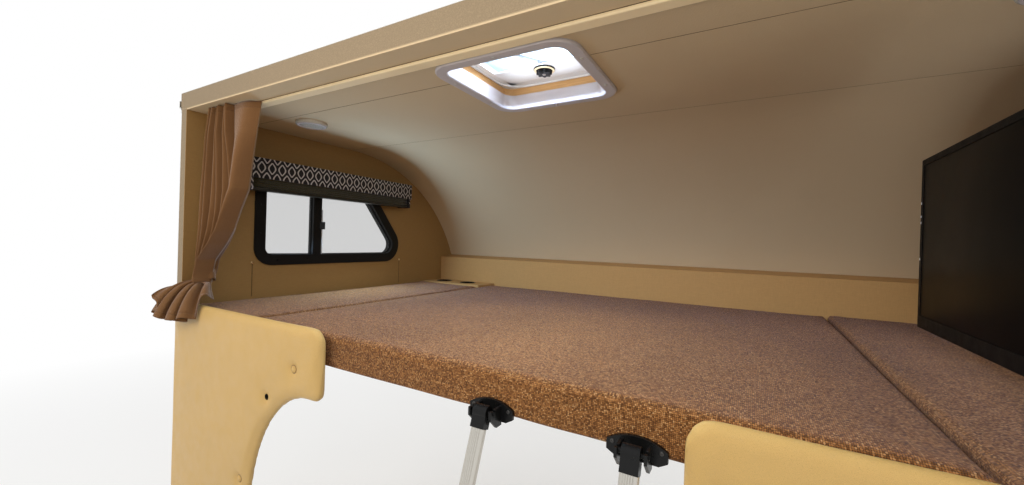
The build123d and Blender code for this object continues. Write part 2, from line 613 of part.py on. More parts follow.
def window_latch(side):
    """Thumb latch of the sliding pane, a wedge on the mullion."""
    seat = HALF_INSIDE - WINDOW_PROUD + MULLION_SET - FIT
    front = REAR_Y + MULLION_AHEAD + MULLION + LATCH_REACH
    points = [(seat, front - LATCH_WIDE), (seat, front), (seat - LATCH_OUT, front)]
    wedge = extrude(make_face(Polyline(*points, close=True)), amount=LATCH_TALL)
    return on_side(Pos(0, 0, BED_TOP + LATCH_OVER) * wedge, side)


def valance(side):
    """Cornice over the window: front board, top and two ends that reach down past the gathered shade."""
    y0 = REAR_Y + WINDOW_REAR - VALANCE_LAP
    y1 = y0 + VALANCE_LONG
    z0 = BED_TOP + WINDOW_HEAD - VALANCE_COVER
    z1 = z0 + VALANCE_TALL
    front, board = HALF_INSIDE - VALANCE_OUT, VALANCE_BOARD
    box = block(front, HALF_INSIDE, y0, y1, z0 - SHADE_DROP, z1)
    box -= block(front + board, HALF_INSIDE, y0 + board, y1 - board, z0 - SHADE_DROP, z1 - board)
    return on_side(box - block(front, front + board, y0, y1, z0 - SHADE_DROP, z0), side)


def shade(side):
    """Head rail and gathered pleats of the window shade under the valance."""
    end = VALANCE_BOARD + SHADE_END_GAP
    y0 = REAR_Y + WINDOW_REAR - VALANCE_LAP
    z0 = BED_TOP + WINDOW_HEAD - VALANCE_COVER
    near = HALF_INSIDE - VALANCE_OUT + VALANCE_BOARD + SHADE_FRONT_GAP
    far, top = HALF_INSIDE - WINDOW_PROUD - 1, z0 + VALANCE_TALL - VALANCE_BOARD - FIT
    return on_side(block(near, far, y0 + end, y0 + VALANCE_LONG - end, z0 - SHADE_DROP, top), side)


# Roof vent


def ring(inner, width, corner, z0, z1, outer_corner=None):
    """A square ring round the vent's middle, of that width round an opening with rounded corners."""
    outer = inner + 2 * width
    around = RectangleRounded(outer, outer, outer_corner or corner + width)
    face = around - RectangleRounded(inner, inner, corner)
    return Pos(0, VENT_Y, z0) * extrude(face, amount=z1 - z0)


def vent_framing():
    """Timber strips that line the hole through the roof's core."""
    return ring(VENT_HOLE, VENT_FRAMING, HOLE_CORNER, ROOF_UNDER + FIT, ROOF_TOP)


def vent_garnish():
    """White inner trim: a flat flange under the ceiling and a sleeve up into the roof."""
    width = (GARNISH_OUT - GARNISH_IN) / 2
    flange = ring(GARNISH_IN, width, GARNISH_CORNER, CEILING - GARNISH_LIP, CEILING)
    flange = chamfer(flange.edges().group_by(Axis.Z)[0], GARNISH_BEVEL)
    return flange + ring(GARNISH_IN, GARNISH_WALL, GARNISH_CORNER, CEILING, CEILING + GARNISH_SLEEVE)


def lid_axis():
    """The lid's hinge line: y and z."""
    return VENT_Y - LID / 2 - LID_AXIS_OUT, ROOF_TOP + LID_AXIS_UP


def vent_base():
    """Roof flange with its curb, and the lugs and pin that carry the lid."""
    inner = VENT_CURB - 2 * CURB_WALL
    width = (VENT_FLANGE - inner) / 2
    base = ring(inner, width, CURB_CORNER, ROOF_TOP, ROOF_TOP + FLANGE_TALL, FLANGE_CORNER)
    base += ring(inner, CURB_WALL, CURB_CORNER, ROOF_TOP - CURB_UNDER, ROOF_TOP + CURB_OVER)
    y, z = lid_axis()
    half = LUG_WIDE / 2
    lugs = barrel(LUG_XS[0] - half, LUG_XS[1] + half, y, z, LID_PIN_R)
    for x in LUG_XS:
        lugs += block(x - half, x + half, y - LID_BARREL_R, y + LID_BARREL_R, ROOF_TOP, z)
        lugs += barrel(x - half, x + half, y, z, LID_BARREL_R)
    return base + lugs + mirror(lugs, Plane.YZ)


def lid_shell(inset):
    """The lid's low tapered dome with rounded corners, taken in by inset."""
    size = LID - 2 * inset
    base = RectangleRounded(size, size, LID_CORNER - inset)
    dome = extrude(base, amount=LID_RISE - inset, taper=LID_TAPER)
    return fillet(dome.edges().group_by(Axis.Z)[-1], LID_ROUND - inset)


def vent_lid():
    """Domed lid with a skirt over the curb, crossed ribs inside and two hinge barrels behind."""
    dome = lid_shell(0)
    hollow = lid_shell(LID_WALL)
    ribs = Box(LID_RIB_LONG, LID_RIB_WIDE, LID_RIB_TALL) + Box(LID_RIB_WIDE, LID_RIB_LONG, LID_RIB_TALL)
    hollow -= Pos(0, 0, LID_RISE - LID_WALL - LID_RIB_TALL / 2) * ribs
    lid = Pos(0, VENT_Y, ROOF_TOP + LID_GAP) * (dome - hollow)
    y, z = lid_axis()
    x0, x1 = LUG_XS[0] + LUG_WIDE / 2 + 1, LUG_XS[1] - LUG_WIDE / 2 - 1
    arm = block(x0, x1, y, VENT_Y - LID / 2 + LID_WALL - 1, z - LID_WALL, z + LID_WALL)
    arm += barrel(x0, x1, y, z, LID_BARREL_R)
    arm -= barrel(x0 - 1, x1 + 1, y, z, LID_PIN_R + 0.1)
    return lid + arm + mirror(arm, Plane.YZ)


def vent_screen():
    """Insect screen in a frame that fits inside the curb, with a plate in front that carries the crank."""
    inner = VENT_CURB - 2 * (CURB_WALL + FIT + SCREEN_RIM)
    corner = CURB_CORNER - FIT - SCREEN_RIM
    frame = ring(inner, SCREEN_RIM, corner, SCREEN_Z, SCREEN_Z + SCREEN_FRAME)
    plate_y = (VENT_Y + CRANK_AHEAD - CASE_R, VENT_Y + inner / 2 + 1)
    frame += block(-inner / 2 - 1, inner / 2 + 1, *plate_y, SCREEN_Z, SCREEN_Z + SCREEN_FRAME)
    sheet = extrude(RectangleRounded(inner + SCREEN_RIM, inner + SCREEN_RIM, corner), amount=SCREEN_MESH)
    return frame + Pos(0, VENT_Y, SCREEN_Z + (SCREEN_FRAME - SCREEN_MESH) / 2) * sheet


def vent_crank():
    """Crank with a lobed knob under the screen, and above it the gear with the folded lift arm."""
    x, y = CRANK_X, VENT_Y + CRANK_AHEAD
    top = SCREEN_Z - FIT
    knob = Cylinder(KNOB_R, KNOB_TALL)
    for i in range(KNOB_LOBES):
        knob -= Rot(0, 0, 360 / KNOB_LOBES * i) * Pos(KNOB_R + 1, 0, 0) * Cylinder(LOBE_R, KNOB_TALL + 1)
    crank = Pos(x, y, top - CASE_TALL / 2) * Cylinder(CASE_R, CASE_TALL)
    crank += Pos(x, y, top - CASE_TALL - KNOB_TALL / 2) * knob
    gear_z = SCREEN_Z + SCREEN_FRAME + FIT
    gear = Pos(x, y, gear_z + GEAR_TALL / 2) * Cylinder(GEAR_R, GEAR_TALL)
    joints = [(x, y)] + [(x0, VENT_Y + y0) for x0, y0 in ARM_JOINTS]
    for (xa, ya), (xb, yb) in zip(joints, joints[1:]):
        span = sqrt((xb - xa) ** 2 + (yb - ya) ** 2)
        link = extrude(SlotCenterToCenter(span, ARM_WIDE), amount=ARM_THICK)
        turn = degrees(atan2(yb - ya, xb - xa))
        gear += Pos((xa + xb) / 2, (ya + yb) / 2, gear_z + GEAR_TALL) * Rot(0, 0, turn) * link
    return [crank, gear]


# Television


def tv_panel():
    """Television with its screen set into a slim bezel."""
    body = Pos(TV_X + TV_DEEP / 2, TV_Y, TV_Z) * Box(TV_DEEP, TV_WIDE, TV_TALL)
    body = fillet(body.edges().group_by(Axis.X)[-1], TV_ROUND)
    screen_tall = TV_TALL - TV_BEZEL - TV_CHIN
    screen = Box(TV_RECESS, TV_WIDE - 2 * TV_BEZEL, screen_tall)
    return body - Pos(TV_X + TV_RECESS / 2, TV_Y, TV_Z + (TV_CHIN - TV_BEZEL) / 2) * screen


def tv_bracket():
    """Plate on the back of the television with two ears for the tilt pin."""
    back = TV_X + TV_DEEP
    plate = Pos(back + VESA_PLATE[0] / 2, TV_Y, TV_Z) * Box(*VESA_PLATE)
    for sign in (-1, 1):
        place = Pos(PIVOT_X, TV_Y + sign * EAR_HALF, TV_Z)
        ear = Pos(-PIVOT_BACK / 2, 0, 0) * Box(PIVOT_BACK, EAR_THICK, 2 * PIVOT_HUB_R)
        ear += Rot(90, 0, 0) * Cylinder(PIVOT_HUB_R, EAR_THICK)
        plate += place * (ear - Rot(90, 0, 0) * Cylinder(PIVOT_R + 0.1, EAR_THICK + 2))
    return plate


def tv_arm():
    """Wall plate behind the window, slanting arm and head with the tilt pin."""
    post_x, post_y = HALF_INSIDE - POST_OUT, REAR_Y + POST_AHEAD
    arm = Pos(HALF_INSIDE - ARM_PLATE[0] / 2, post_y, TV_Z) * Box(*ARM_PLATE)
    arm += Pos(post_x, post_y, TV_Z) * Cylinder(POST_R, POST_TALL)
    arm += Pos(HALF_INSIDE - POST_OUT / 2, post_y, TV_Z) * Box(POST_OUT, ARM_BAR[0], POST_TALL)
    span = Vector(post_x - PIVOT_X, post_y - TV_Y)
    middle = Pos((PIVOT_X + post_x) / 2, (TV_Y + post_y) / 2, TV_Z)
    arm += middle * Rot(0, 0, degrees(atan2(span.Y, span.X))) * Box(span.length, *ARM_BAR)
    between = 2 * (EAR_HALF - EAR_THICK / 2 - 1)
    head = Cylinder(ARM_HEAD_R, between) + Cylinder(PIVOT_R, between + 2 * EAR_THICK + 8)
    return arm + Pos(PIVOT_X, TV_Y, TV_Z) * Rot(90, 0, 0) * head


# Files

PIECES = {
    "floor": floor_panel,
    "opening_frame": opening_frame,
    "roof": roof_panel,
    "nose_cap": nose_cap,
    "nose_liner": nose_liner,
    "ceiling_panels": ceiling_panels,
    "ceiling_trim": ceiling_trim,
    "ceiling_lights": ceiling_lights,
    "upstand": upstand,
    "cup_ledge": cup_ledge,
    "cup_holders": cup_holders,
    "centre_cushion": centre_cushion,
    "centre_deck": centre_deck,
    "bunk_hinge_fixed": hinge_fixed,
    "bunk_hinge_moving": hinge_moving,
    "ladder_brackets": ladder_brackets,
    "ladder_rails": ladder_rails,
    "ladder_rungs": ladder_rungs,
    "ladder_caps": ladder_caps,
    "ladder_feet": ladder_feet,
    "curtain": curtain,
    "marker_lights": marker_lights,
    "drip_rails": drip_rails,
    "vent_framing": vent_framing,
    "vent_garnish": vent_garnish,
    "vent_base": vent_base,
    "vent_lid": vent_lid,
    "vent_screen": vent_screen,
    "vent_crank": vent_crank,
    "tv_panel": tv_panel,
    "tv_bracket": tv_bracket,
    "tv_arm": tv_arm,
}
PAIRED = {
    "side_wall": side_wall,
    "side_board": side_board,
    "side_cushion": side_cushion,
    "cheek": cheek,
    "window_frame": window_frame,
    "window_glass": window_glass,
    "window_latch": window_latch,
    "valance": valance,
    "shade": shade,
}


def save(name, made):
    """Writes a piece, or a list of them, to its STEP file."""
    pieces = made if isinstance(made, list) else [made]
    solids = [solid for piece in pieces for solid in piece.solids()]
    shape = solids[0] if len(solids) == 1 else Compound(children=solids)
    export_step(shape, f"parts/{name}.step")


def main():
    """Builds every sub-part and writes its file."""
    os.makedirs("parts", exist_ok=True)
    for name, builder in PIECES.items():
        save(name, builder())
    for name, builder in PAIRED.items():
        for side in SIDES:
            save(f"{name}_{side}", builder(side))


main()
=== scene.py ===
"""Looks of a motorhome's over-cab sleeping compartment.

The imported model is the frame, and every length is in metres in its coordinates: +X to the vehicle's right,
+Y forwards, +Z up, with the origin on the underside of the floor. The hard parts keep their modelled shapes
and get finishes, small fittings and fasteners. The cushions, cheeks, curtain, shades, valances and the
vent's insect screen are made here and stand for their plain solids.
"""

import json
import logging
import math
from collections.abc import Callable, Iterable, Sequence
from dataclasses import dataclass
from enum import Enum
from typing import Any

import bmesh
import bpy
from mathutils import Matrix, Vector, noise

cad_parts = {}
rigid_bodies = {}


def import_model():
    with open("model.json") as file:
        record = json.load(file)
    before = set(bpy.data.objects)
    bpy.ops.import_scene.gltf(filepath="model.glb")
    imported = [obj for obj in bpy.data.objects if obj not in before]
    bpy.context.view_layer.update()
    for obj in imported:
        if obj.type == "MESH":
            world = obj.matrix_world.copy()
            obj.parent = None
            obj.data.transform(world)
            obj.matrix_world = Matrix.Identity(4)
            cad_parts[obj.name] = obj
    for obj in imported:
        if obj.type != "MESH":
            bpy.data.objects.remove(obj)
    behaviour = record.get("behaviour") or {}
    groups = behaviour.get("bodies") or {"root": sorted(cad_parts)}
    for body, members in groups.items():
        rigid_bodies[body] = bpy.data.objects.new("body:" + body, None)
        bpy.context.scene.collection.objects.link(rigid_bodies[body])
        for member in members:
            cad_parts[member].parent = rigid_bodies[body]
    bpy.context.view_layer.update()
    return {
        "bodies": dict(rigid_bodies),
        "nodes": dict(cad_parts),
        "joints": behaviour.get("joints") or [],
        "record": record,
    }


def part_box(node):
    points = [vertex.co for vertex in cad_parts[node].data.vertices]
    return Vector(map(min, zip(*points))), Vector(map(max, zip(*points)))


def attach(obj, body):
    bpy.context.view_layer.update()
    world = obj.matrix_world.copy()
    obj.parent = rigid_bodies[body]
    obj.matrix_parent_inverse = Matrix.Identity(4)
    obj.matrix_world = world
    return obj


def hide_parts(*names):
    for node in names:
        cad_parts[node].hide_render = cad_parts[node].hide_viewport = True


log = logging.getLogger("compartment")

Colour = tuple[float, float, float]
Triple = tuple[float, float, float]
Pair = tuple[float, float]
Point = Sequence[float]
Mesh = bmesh.types.BMesh
Inputs = dict[str, Any]
Feeds = dict[str | int, Any]


class Side(Enum):
    """The two sides of the vehicle, as the sign of X."""

    LEFT = -1
    RIGHT = 1

    @property
    def word(self) -> str:
        """The side's name as the nodes spell it."""
        return self.name.lower()

    @property
    def inward(self) -> Triple:
        """The way from this side to the centre line."""
        return (-self.value, 0, 0)

    def x(self, distance: float) -> float:
        """A distance from the centre line, taken to this side."""
        return self.value * distance

    def span(self, *distances: float) -> list[float]:
        """Distances from the centre line, taken to this side, the lowest X first."""
        return sorted(self.x(distance) for distance in distances)


def clamp(number: float) -> float:
    """A number kept between 0 and 1."""
    return max(0.0, min(1.0, number))


def eased(share: float) -> float:
    """A share from 0 to 1 with a slow start and end."""
    return share * share * (3 - 2 * share)


# Node trees


class Number:
    """A number inside a material, worked on with plain arithmetic."""

    def __init__(self, tree: "Tree", socket: bpy.types.NodeSocket) -> None:
        """Wraps a socket of a node tree."""
        self.tree, self.socket = tree, socket

    def step(self, operation: str, *others: Any) -> "Number":
        """One step of arithmetic, with this number first."""
        return self.tree.number("Math", dict(enumerate((self, *others))), operation=operation)

    def __add__(self, other: Any) -> "Number":
        """This number plus another."""
        return self.step("ADD", other)

    def __sub__(self, other: Any) -> "Number":
        """This number minus another."""
        return self.step("SUBTRACT", other)

    def __mul__(self, other: Any) -> "Number":
        """This number times another."""
        return self.step("MULTIPLY", other)

    def __truediv__(self, other: Any) -> "Number":
        """This number divided by another."""
        return self.step("DIVIDE", other)

    def __gt__(self, other: Any) -> "Number":
        """1 where this number is the greater, and 0 elsewhere."""
        return self.step("GREATER_THAN", other)

    def __lt__(self, other: Any) -> "Number":
        """1 where this number is the lesser, and 0 elsewhere."""
        return self.step("LESS_THAN", other)

    def __abs__(self) -> "Number":
        """This number without its sign."""
        return self.step("ABSOLUTE")

    def wave(self, factor: float, operation: str = "SINE") -> "Number":
        """The sine, or the cosine, of this number times a factor."""
        return (self * factor).step(operation)

    def spread(self, low: float, high: float, out: Pair = (0.0, 1.0)) -> "Number":
        """Stretches the span from low to high over another span, clamped."""
        inputs = {"Value": self, "From Min": low, "From Max": high, "To Min": out[0], "To Max": out[1]}
        return self.tree.number("MapRange", inputs)


class Tree:
    """Node tree of a material or the world, with a short call for each node that the finishes share."""

    def __init__(self, owner: bpy.types.Material | bpy.types.World) -> None:
        """Turns on the owner's nodes."""
        owner.use_nodes = True
        self.owner, self.nodes, self.links = owner, owner.node_tree.nodes, owner.node_tree.links

    def add(self, kind: str, inputs: Feeds | None = None, **settings: Any) -> bpy.types.Node:
        """Adds a shader node.

        Args:
            kind: Node type without the ShaderNode prefix.
            inputs: Values, numbers or sockets for its inputs, by name or index.
            **settings: The node's own properties.

        Returns:
            The new node.
        """
        node = self.nodes.new(f"ShaderNode{kind}")
        for key, value in settings.items():
            setattr(node, key, value)
        for key, value in (inputs or {}).items():
            self.feed(node.inputs[key], value)
        return node

    def feed(self, socket: bpy.types.NodeSocket, value: Any) -> None:
        """Links a number or a socket into an input, or sets the input's value."""
        if isinstance(value, Number):
            value = value.socket
        if isinstance(value, bpy.types.NodeSocket):
            self.links.new(value, socket)
        elif isinstance(value, tuple) and len(value) == 3 and socket.type == "RGBA":
            socket.default_value = (*value, 1.0)
        else:
            socket.default_value = value

    def number(self, kind: str, inputs: Feeds, output: str | int = 0, **settings: Any) -> Number:
        """Adds a shader node and takes one number from it."""
        return Number(self, self.add(kind, inputs, **settings).outputs[output])

    def point(self, scale: Triple = (1, 1, 1), uv: bool = False) -> bpy.types.NodeSocket:
        """The place on the piece, scaled, from object coordinates or the piece's own UV map."""
        source = self.add("TexCoord").outputs["UV" if uv else "Object"]
        return self.add("Mapping", {"Vector": source, "Scale": scale}).outputs[0]

    def parts(self, vector: bpy.types.NodeSocket) -> list[Number]:
        """The three numbers of a vector."""
        return [Number(self, part) for part in self.add("SeparateXYZ", {0: vector}).outputs]

    def normal(self) -> list[Number]:
        """How much the surface faces along each of the piece's axes, without sign."""
        return [abs(part) for part in self.parts(self.add("TexCoord").outputs["Normal"])]

    def noise(self, point: Any, scale: float, detail: float = 2.0, rough: float = 0.5) -> Number:
        """Soft noise between 0 and 1."""
        inputs = {"Vector": point, "Scale": scale, "Detail": detail, "Roughness": rough}
        return self.number("TexNoise", inputs, "Fac")

    def grain(self, scale: Triple, detail: float = 2.0, rough: float = 0.6, uv: bool = False) -> Number:
        """Soft noise with its own scale along each axis."""
        return self.noise(self.point(scale, uv), 1.0, detail, rough)

    def linen(self) -> Number:
        """Upright and level threads of a linen print."""
        fine, long = 1100, 45
        return (self.grain((fine, fine, long), 3.0, 0.65) + self.grain((long, long, fine), 3.0, 0.65)) * 0.5

    def cells(self, point: Any, scale: float, feature: str = "F1") -> Number:
        """Distances in Voronoi cells."""
        return self.number("TexVoronoi", {"Vector": point, "Scale": scale}, "Distance", feature=feature)

    def ramp(self, value: Any, *stops: tuple[float, Colour]) -> bpy.types.NodeSocket:
        """Colours along a value from 0 to 1.

        Args:
            value: Where along the colours.
            *stops: Places along them, each with its colour.

        Returns:
            The colour.
        """
        node = self.add("ValToRGB", {0: value})
        band = node.color_ramp
        band.elements[0].position, band.elements[-1].position = stops[0][0], stops[-1][0]
        for place, _ in stops[1:-1]:
            band.elements.new(place)
        for element, (_, colour) in zip(band.elements, stops):
            element.color = (*colour, 1.0)
        return node.outputs[0]

    def blend(self, share: Any, a: Any, b: Any, mode: str = "MIX") -> bpy.types.NodeSocket:
        """Mixes two colours."""
        return self.add("Mix", {0: share, 6: a, 7: b}, data_type="RGBA", blend_type=mode).outputs[2]

    def shades(self, share: Any, colour: Colour, low: float, high: float) -> bpy.types.NodeSocket:
        """Mixes two shades of one colour."""
        return self.blend(share, tint(colour, low), tint(colour, high))

    def pick(self, share: Any, off: Any, on: Any) -> Number:
        """One of two numbers."""
        return self.number("Mix", {0: share, 2: off, 3: on}, data_type="FLOAT")

    def bump(self, height: Any, deep: float, under: Any = None) -> bpy.types.NodeSocket:
        """A bump of that depth in metres, on top of another one if it is given.

        Args:
            height: The relief, as a share of its depth.
            deep: The depth in metres.
            under: The normal that it lies on.

        Returns:
            The bent normal.
        """
        inputs: Feeds = {"Height": height, "Distance": deep}
        if under is not None:
            inputs["Normal"] = under
        return self.add("Bump", inputs).outputs[0]

    def soft_edge(self, radius: float) -> bpy.types.NodeSocket:
        """Shading of edges as if rounded."""
        return self.add("Bevel", {"Radius": radius}, samples=4).outputs[0]

    def finish(self, **inputs: Any) -> bpy.types.Material:
        """Feeds the Principled shader, with underscores in its input names for spaces.

        Args:
            **inputs: Values, numbers or sockets by input name.

        Returns:
            The finished material.
        """
        shader = next(node for node in self.nodes if node.type == "BSDF_PRINCIPLED")
        for key, value in inputs.items():
            self.feed(shader.inputs[key.replace("_", " ")], value)
        return self.owner


def tint(colour: Colour, factor: float) -> Colour:
    """A colour made lighter or darker."""
    return tuple(min(1.0, part * factor) for part in colour)


# Finishes


@dataclass(frozen=True)
class Finish:
    """A named material."""

    name: str

    def build(self) -> bpy.types.Material:
        """Makes the material."""
        tree = Tree(bpy.data.materials.new(self.name))
        return tree.finish(**self.paint(tree, tree.point()))

    def paint(self, tree: Tree, place: bpy.types.NodeSocket) -> Inputs:
        """What its Principled shader is fed.

        Args:
            tree: The material's nodes.
            place: The place on the piece, in object coordinates.

        Returns:
            Values, numbers or sockets by input name.
        """
        raise NotImplementedError


@dataclass(frozen=True)
class Tweed(Finish):
    """Upholstery in a heathered basket weave of dark, brown, tan and light yarns."""

    name: str = "tweed"
    dark: Colour = (0.040, 0.017, 0.007)
    brown: Colour = (0.17, 0.068, 0.021)
    tan: Colour = (0.37, 0.165, 0.052)
    light: Colour = (0.74, 0.50, 0.25)
    yarn: float = 0.0029

    def paint(self, tree: Tree, place: bpy.types.NodeSocket) -> Inputs:
        """Yarns that pass over and under, each crossing with a colour of its own, with painted shade in the
        gaps between them.

        Args:
            tree: The material's nodes.
            place: The place on the piece, in object coordinates.

        Returns:
            Values, numbers or sockets by input name.
        """
        x, y, z = tree.parts(place)
        nx, _, nz = tree.normal()
        across, along = tree.pick(nx > 0.62, x, y), tree.pick(nz > 0.62, z, y)
        wobble = tree.noise(place, 60.0) * 0.9
        a, b = across / self.yarn + wobble, along / self.yarn - wobble
        column, row = a.step("FLOOR"), b.step("FLOOR")
        over = abs(column + row).step("MODULO", 2.0)
        round_a, round_b = a.step("FRACT").wave(math.pi), b.step("FRACT").wave(math.pi)
        height = tree.pick(over, round_b * 0.35 + round_a, round_a * 0.35 + round_b)
        cell = tree.add("CombineXYZ", {0: column, 1: row, 2: over}).outputs[0]
        fleck = tree.number("TexWhiteNoise", {"Vector": cell}, "Value", noise_dimensions="3D")
        fuzz = tree.noise(place, 900.0, 3.0, 0.7)
        mixed = (fuzz - 0.5) * 0.5 + (fleck * 0.50 + 0.25)
        stops = ((0.06, self.dark), (0.34, self.brown), (0.66, self.tan), (0.97, self.light))
        worn = tree.noise(place, 2.2, 3.0).spread(0.3, 0.75, (0.86, 1.12))
        weft = tree.grain((9, 330, 330)).spread(0.3, 0.7, (0.80, 1.20))
        # painted shade: each yarn is darker towards the gaps between yarns, where the weave's relief would
        # shade it
        shade = worn * weft * height.spread(0.20, 1.05, (0.20, 1.12))
        grey = tree.add("CombineColor", {0: shade, 1: shade, 2: shade}).outputs[0]
        return dict(
            Base_Color=tree.blend(1.0, tree.ramp(mixed, *stops), grey, "MULTIPLY"), Roughness=0.92,
            Normal=tree.bump(fuzz * 0.3 + height, 0.0008), Sheen_Weight=0.13, Sheen_Roughness=0.36,
            Sheen_Tint=(0.82, 0.80, 1.0), Specular_IOR_Level=0.15,
        )


@dataclass(frozen=True)
class Vinyl(Finish):
    """Padded upholstery vinyl with a fine leather grain."""

    name: str = "vinyl"
    colour: Colour = (0.66, 0.42, 0.135)

    def paint(self, tree: Tree, place: bpy.types.NodeSocket) -> Inputs:
        """Grain with pits darkened as painted shade, with creases, and with patches that are rubbed.

        Args:
            tree: The material's nodes.
            place: The place on the piece, in object coordinates.

        Returns:
            Values, numbers or sockets by input name.
        """
        grain = tree.cells(place, 850.0, "DISTANCE_TO_EDGE")
        rubbed = tree.noise(place, 11.0, 5.0, 0.65).spread(0.55, 0.8)
        base = tree.shades(tree.noise(place, 3.5, 3.0), self.colour, 0.93, 1.06)
        base = tree.blend(rubbed * 0.22, base, tint(self.colour, 0.72))
        # painted shade: darker along the edges of the grain's cells, in the pits between them
        base = tree.blend(grain.spread(0.0, 0.12, (0.55, 0.0)), base, tint(self.colour, 0.6))
        fine = tree.bump(grain.spread(0.0, 0.25), 0.00025)
        bump = tree.bump(tree.noise(place, 240.0, 4.0, 0.6), 0.0006, fine)
        rough = tree.noise(place, 26.0, 3.0).spread(0.3, 0.7, (0.28, 0.42))
        return dict(Base_Color=base, Roughness=rough, Normal=bump, Specular_IOR_Level=0.5)


@dataclass(frozen=True)
class Cloth(Finish):
    """Plain woven cloth on the piece's own UV map, which is in metres."""

    colour: Colour
    thread: float = 0.0007
    slub: float = 0.35
    seam: float = 0.0
    stitch: float = 0.005
    lining: float = 9.0
    lining_colour: Colour = (0.25, 0.16, 0.085)

    def paint(self, tree: Tree, place: bpy.types.NodeSocket) -> Inputs:
        """Threads and slubs, with a stitched seam and a paler lining where it has them.

        Args:
            tree: The material's nodes.
            place: The place on the piece, in object coordinates.

        Returns:
            Values, numbers or sockets by input name.
        """
        turn = math.pi / self.thread
        u, v, _ = tree.parts(tree.point(uv=True))
        weave = abs(u.wave(turn)).step("MAXIMUM", abs(v.wave(turn)))
        slub = (tree.grain((900, 26, 1), uv=True) + tree.grain((26, 900, 1), uv=True)) * 0.5
        base = tree.shades(slub, self.colour, 1 - self.slub, 1 + self.slub)
        base = tree.blend(tree.noise(place, 4.0, 2.0) * 0.35, base, tint(self.colour, 0.8))
        bump = tree.bump(slub * 0.8 + weave, 0.0002)
        if self.seam:
            away = abs(v - self.seam)
            line = away.spread(0.0006, 0.0012, (1.0, 0.0)) * (u.wave(2 * math.pi / self.stitch) > -0.3)
            base = tree.blend(line * 0.6, base, tint(self.colour, 0.35))
            base = tree.blend(u > self.lining, base, self.lining_colour)
            bump = tree.bump(away.spread(0.0, 0.004), 0.0012, bump)
        return dict(
            Base_Color=base, Roughness=0.85, Normal=bump, Sheen_Weight=0.35, Sheen_Roughness=0.4,
            Specular_IOR_Level=0.2,
        )


@dataclass(frozen=True)
class OgeeCloth(Finish):
    """Dark cloth woven with rows of pale ogees, a traditional lattice, seen along X."""

    name: str = "valance_cloth"
    ground: Colour = (0.008, 0.0065, 0.007)
    line: Colour = (0.52, 0.47, 0.43)
    pitch: float = 0.0409
    row: float = 0.0405
    half_wide: float = 0.335
    half_tall: float = 0.285
    stroke: Pair = (0.055, 0.085)
    start: Pair = (-0.787, 0.6575)

    def paint(self, tree: Tree, place: bpy.types.NodeSocket) -> Inputs:
        """Two sets of ogees on the ground, on the faces across X only.

        Args:
            tree: The material's nodes.
            place: The place on the piece, in object coordinates.

        Returns:
            Values, numbers or sockets by input name.
        """
        _, y, z = tree.parts(place)
        u, v = (y - self.start[0]) / self.pitch, (z - self.start[1]) / self.row
        rings = self.ring(u, v, 0.0).step("MAXIMUM", self.ring(u, v, 0.5)) * (tree.normal()[0] > 0.6)
        yarn = tree.grain((600, 600, 2200))
        dark, pale = tree.shades(yarn, self.ground, 0.5, 2.4), tree.shades(yarn, self.line, 0.7, 1.35)
        return dict(
            Base_Color=tree.blend(rings, dark, pale), Roughness=0.88,
            Normal=tree.bump(rings * 0.6 + yarn, 0.0004), Sheen_Weight=0.15, Sheen_Roughness=0.4,
        )

    def ring(self, u: Number, v: Number, shift: float) -> Number:
        """The outline of one set of ogees, the second half a step along and half a row up.

        Args:
            u: Place along the row, in steps of the pattern.
            v: Place across, in rows.
            shift: How far this set is moved.

        Returns:
            1 on the line, and 0 off it.
        """
        a = (u + (0.5 + shift)).step("FRACT") - 0.5
        b = (v * 0.5 + (0.5 + shift)).step("FRACT") - 0.5
        lobe = (b.wave(math.pi / self.half_tall, "COSINE") * 0.5 + 0.5).step("POWER", 0.62)
        away = abs(abs(a) - lobe * self.half_wide)
        return away.spread(*self.stroke, (1.0, 0.0)) * (abs(b) < self.half_tall)


@dataclass(frozen=True)
class Linen(Finish):
    """Wallboard faced with a fine linen print."""

    colour: Colour
    rough: float = 0.6

    def paint(self, tree: Tree, place: bpy.types.NodeSocket) -> Inputs:
        """The print over faint clouds.

        Args:
            tree: The material's nodes.
            place: The place on the piece, in object coordinates.

        Returns:
            Values, numbers or sockets by input name.
        """
        print_ = tree.linen()
        base = tree.shades(print_.spread(0.32, 0.68), self.colour, 0.84, 1.14)
        base = tree.blend(tree.noise(place, 1.8, 4.0, 0.6) * 0.3, base, tint(self.colour, 0.86))
        bump = tree.bump(print_, 0.0003, tree.soft_edge(0.002))
        return dict(Base_Color=base, Roughness=self.rough, Normal=bump, Specular_IOR_Level=0.35)


@dataclass(frozen=True)
class Headliner(Finish):
    """Vinyl-faced ceiling board with a soft pebbled grain."""

    name: str = "headliner"
    colour: Colour = (0.58, 0.44, 0.27)

    def paint(self, tree: Tree, place: bpy.types.NodeSocket) -> Inputs:
        """Pebbles on a slow ripple, with a few marks.

        Args:
            tree: The material's nodes.
            place: The place on the piece, in object coordinates.

        Returns:
            Values, numbers or sockets by input name.
        """
        marks = tree.noise(place, 7.0, 5.0, 0.7).spread(0.58, 0.8)
        base = tree.shades(tree.noise(place, 1.4, 4.0, 0.55), self.colour, 0.94, 1.05)
        base = tree.blend(marks * 0.12, base, tint(self.colour, 0.78))
        ripple = tree.bump(tree.noise(place, 5.0, 1.0), 0.004)
        bump = tree.bump(tree.cells(place, 420.0, "SMOOTH_F1"), 0.0004, ripple)
        return dict(Base_Color=base, Roughness=0.62, Normal=bump, Specular_IOR_Level=0.3)


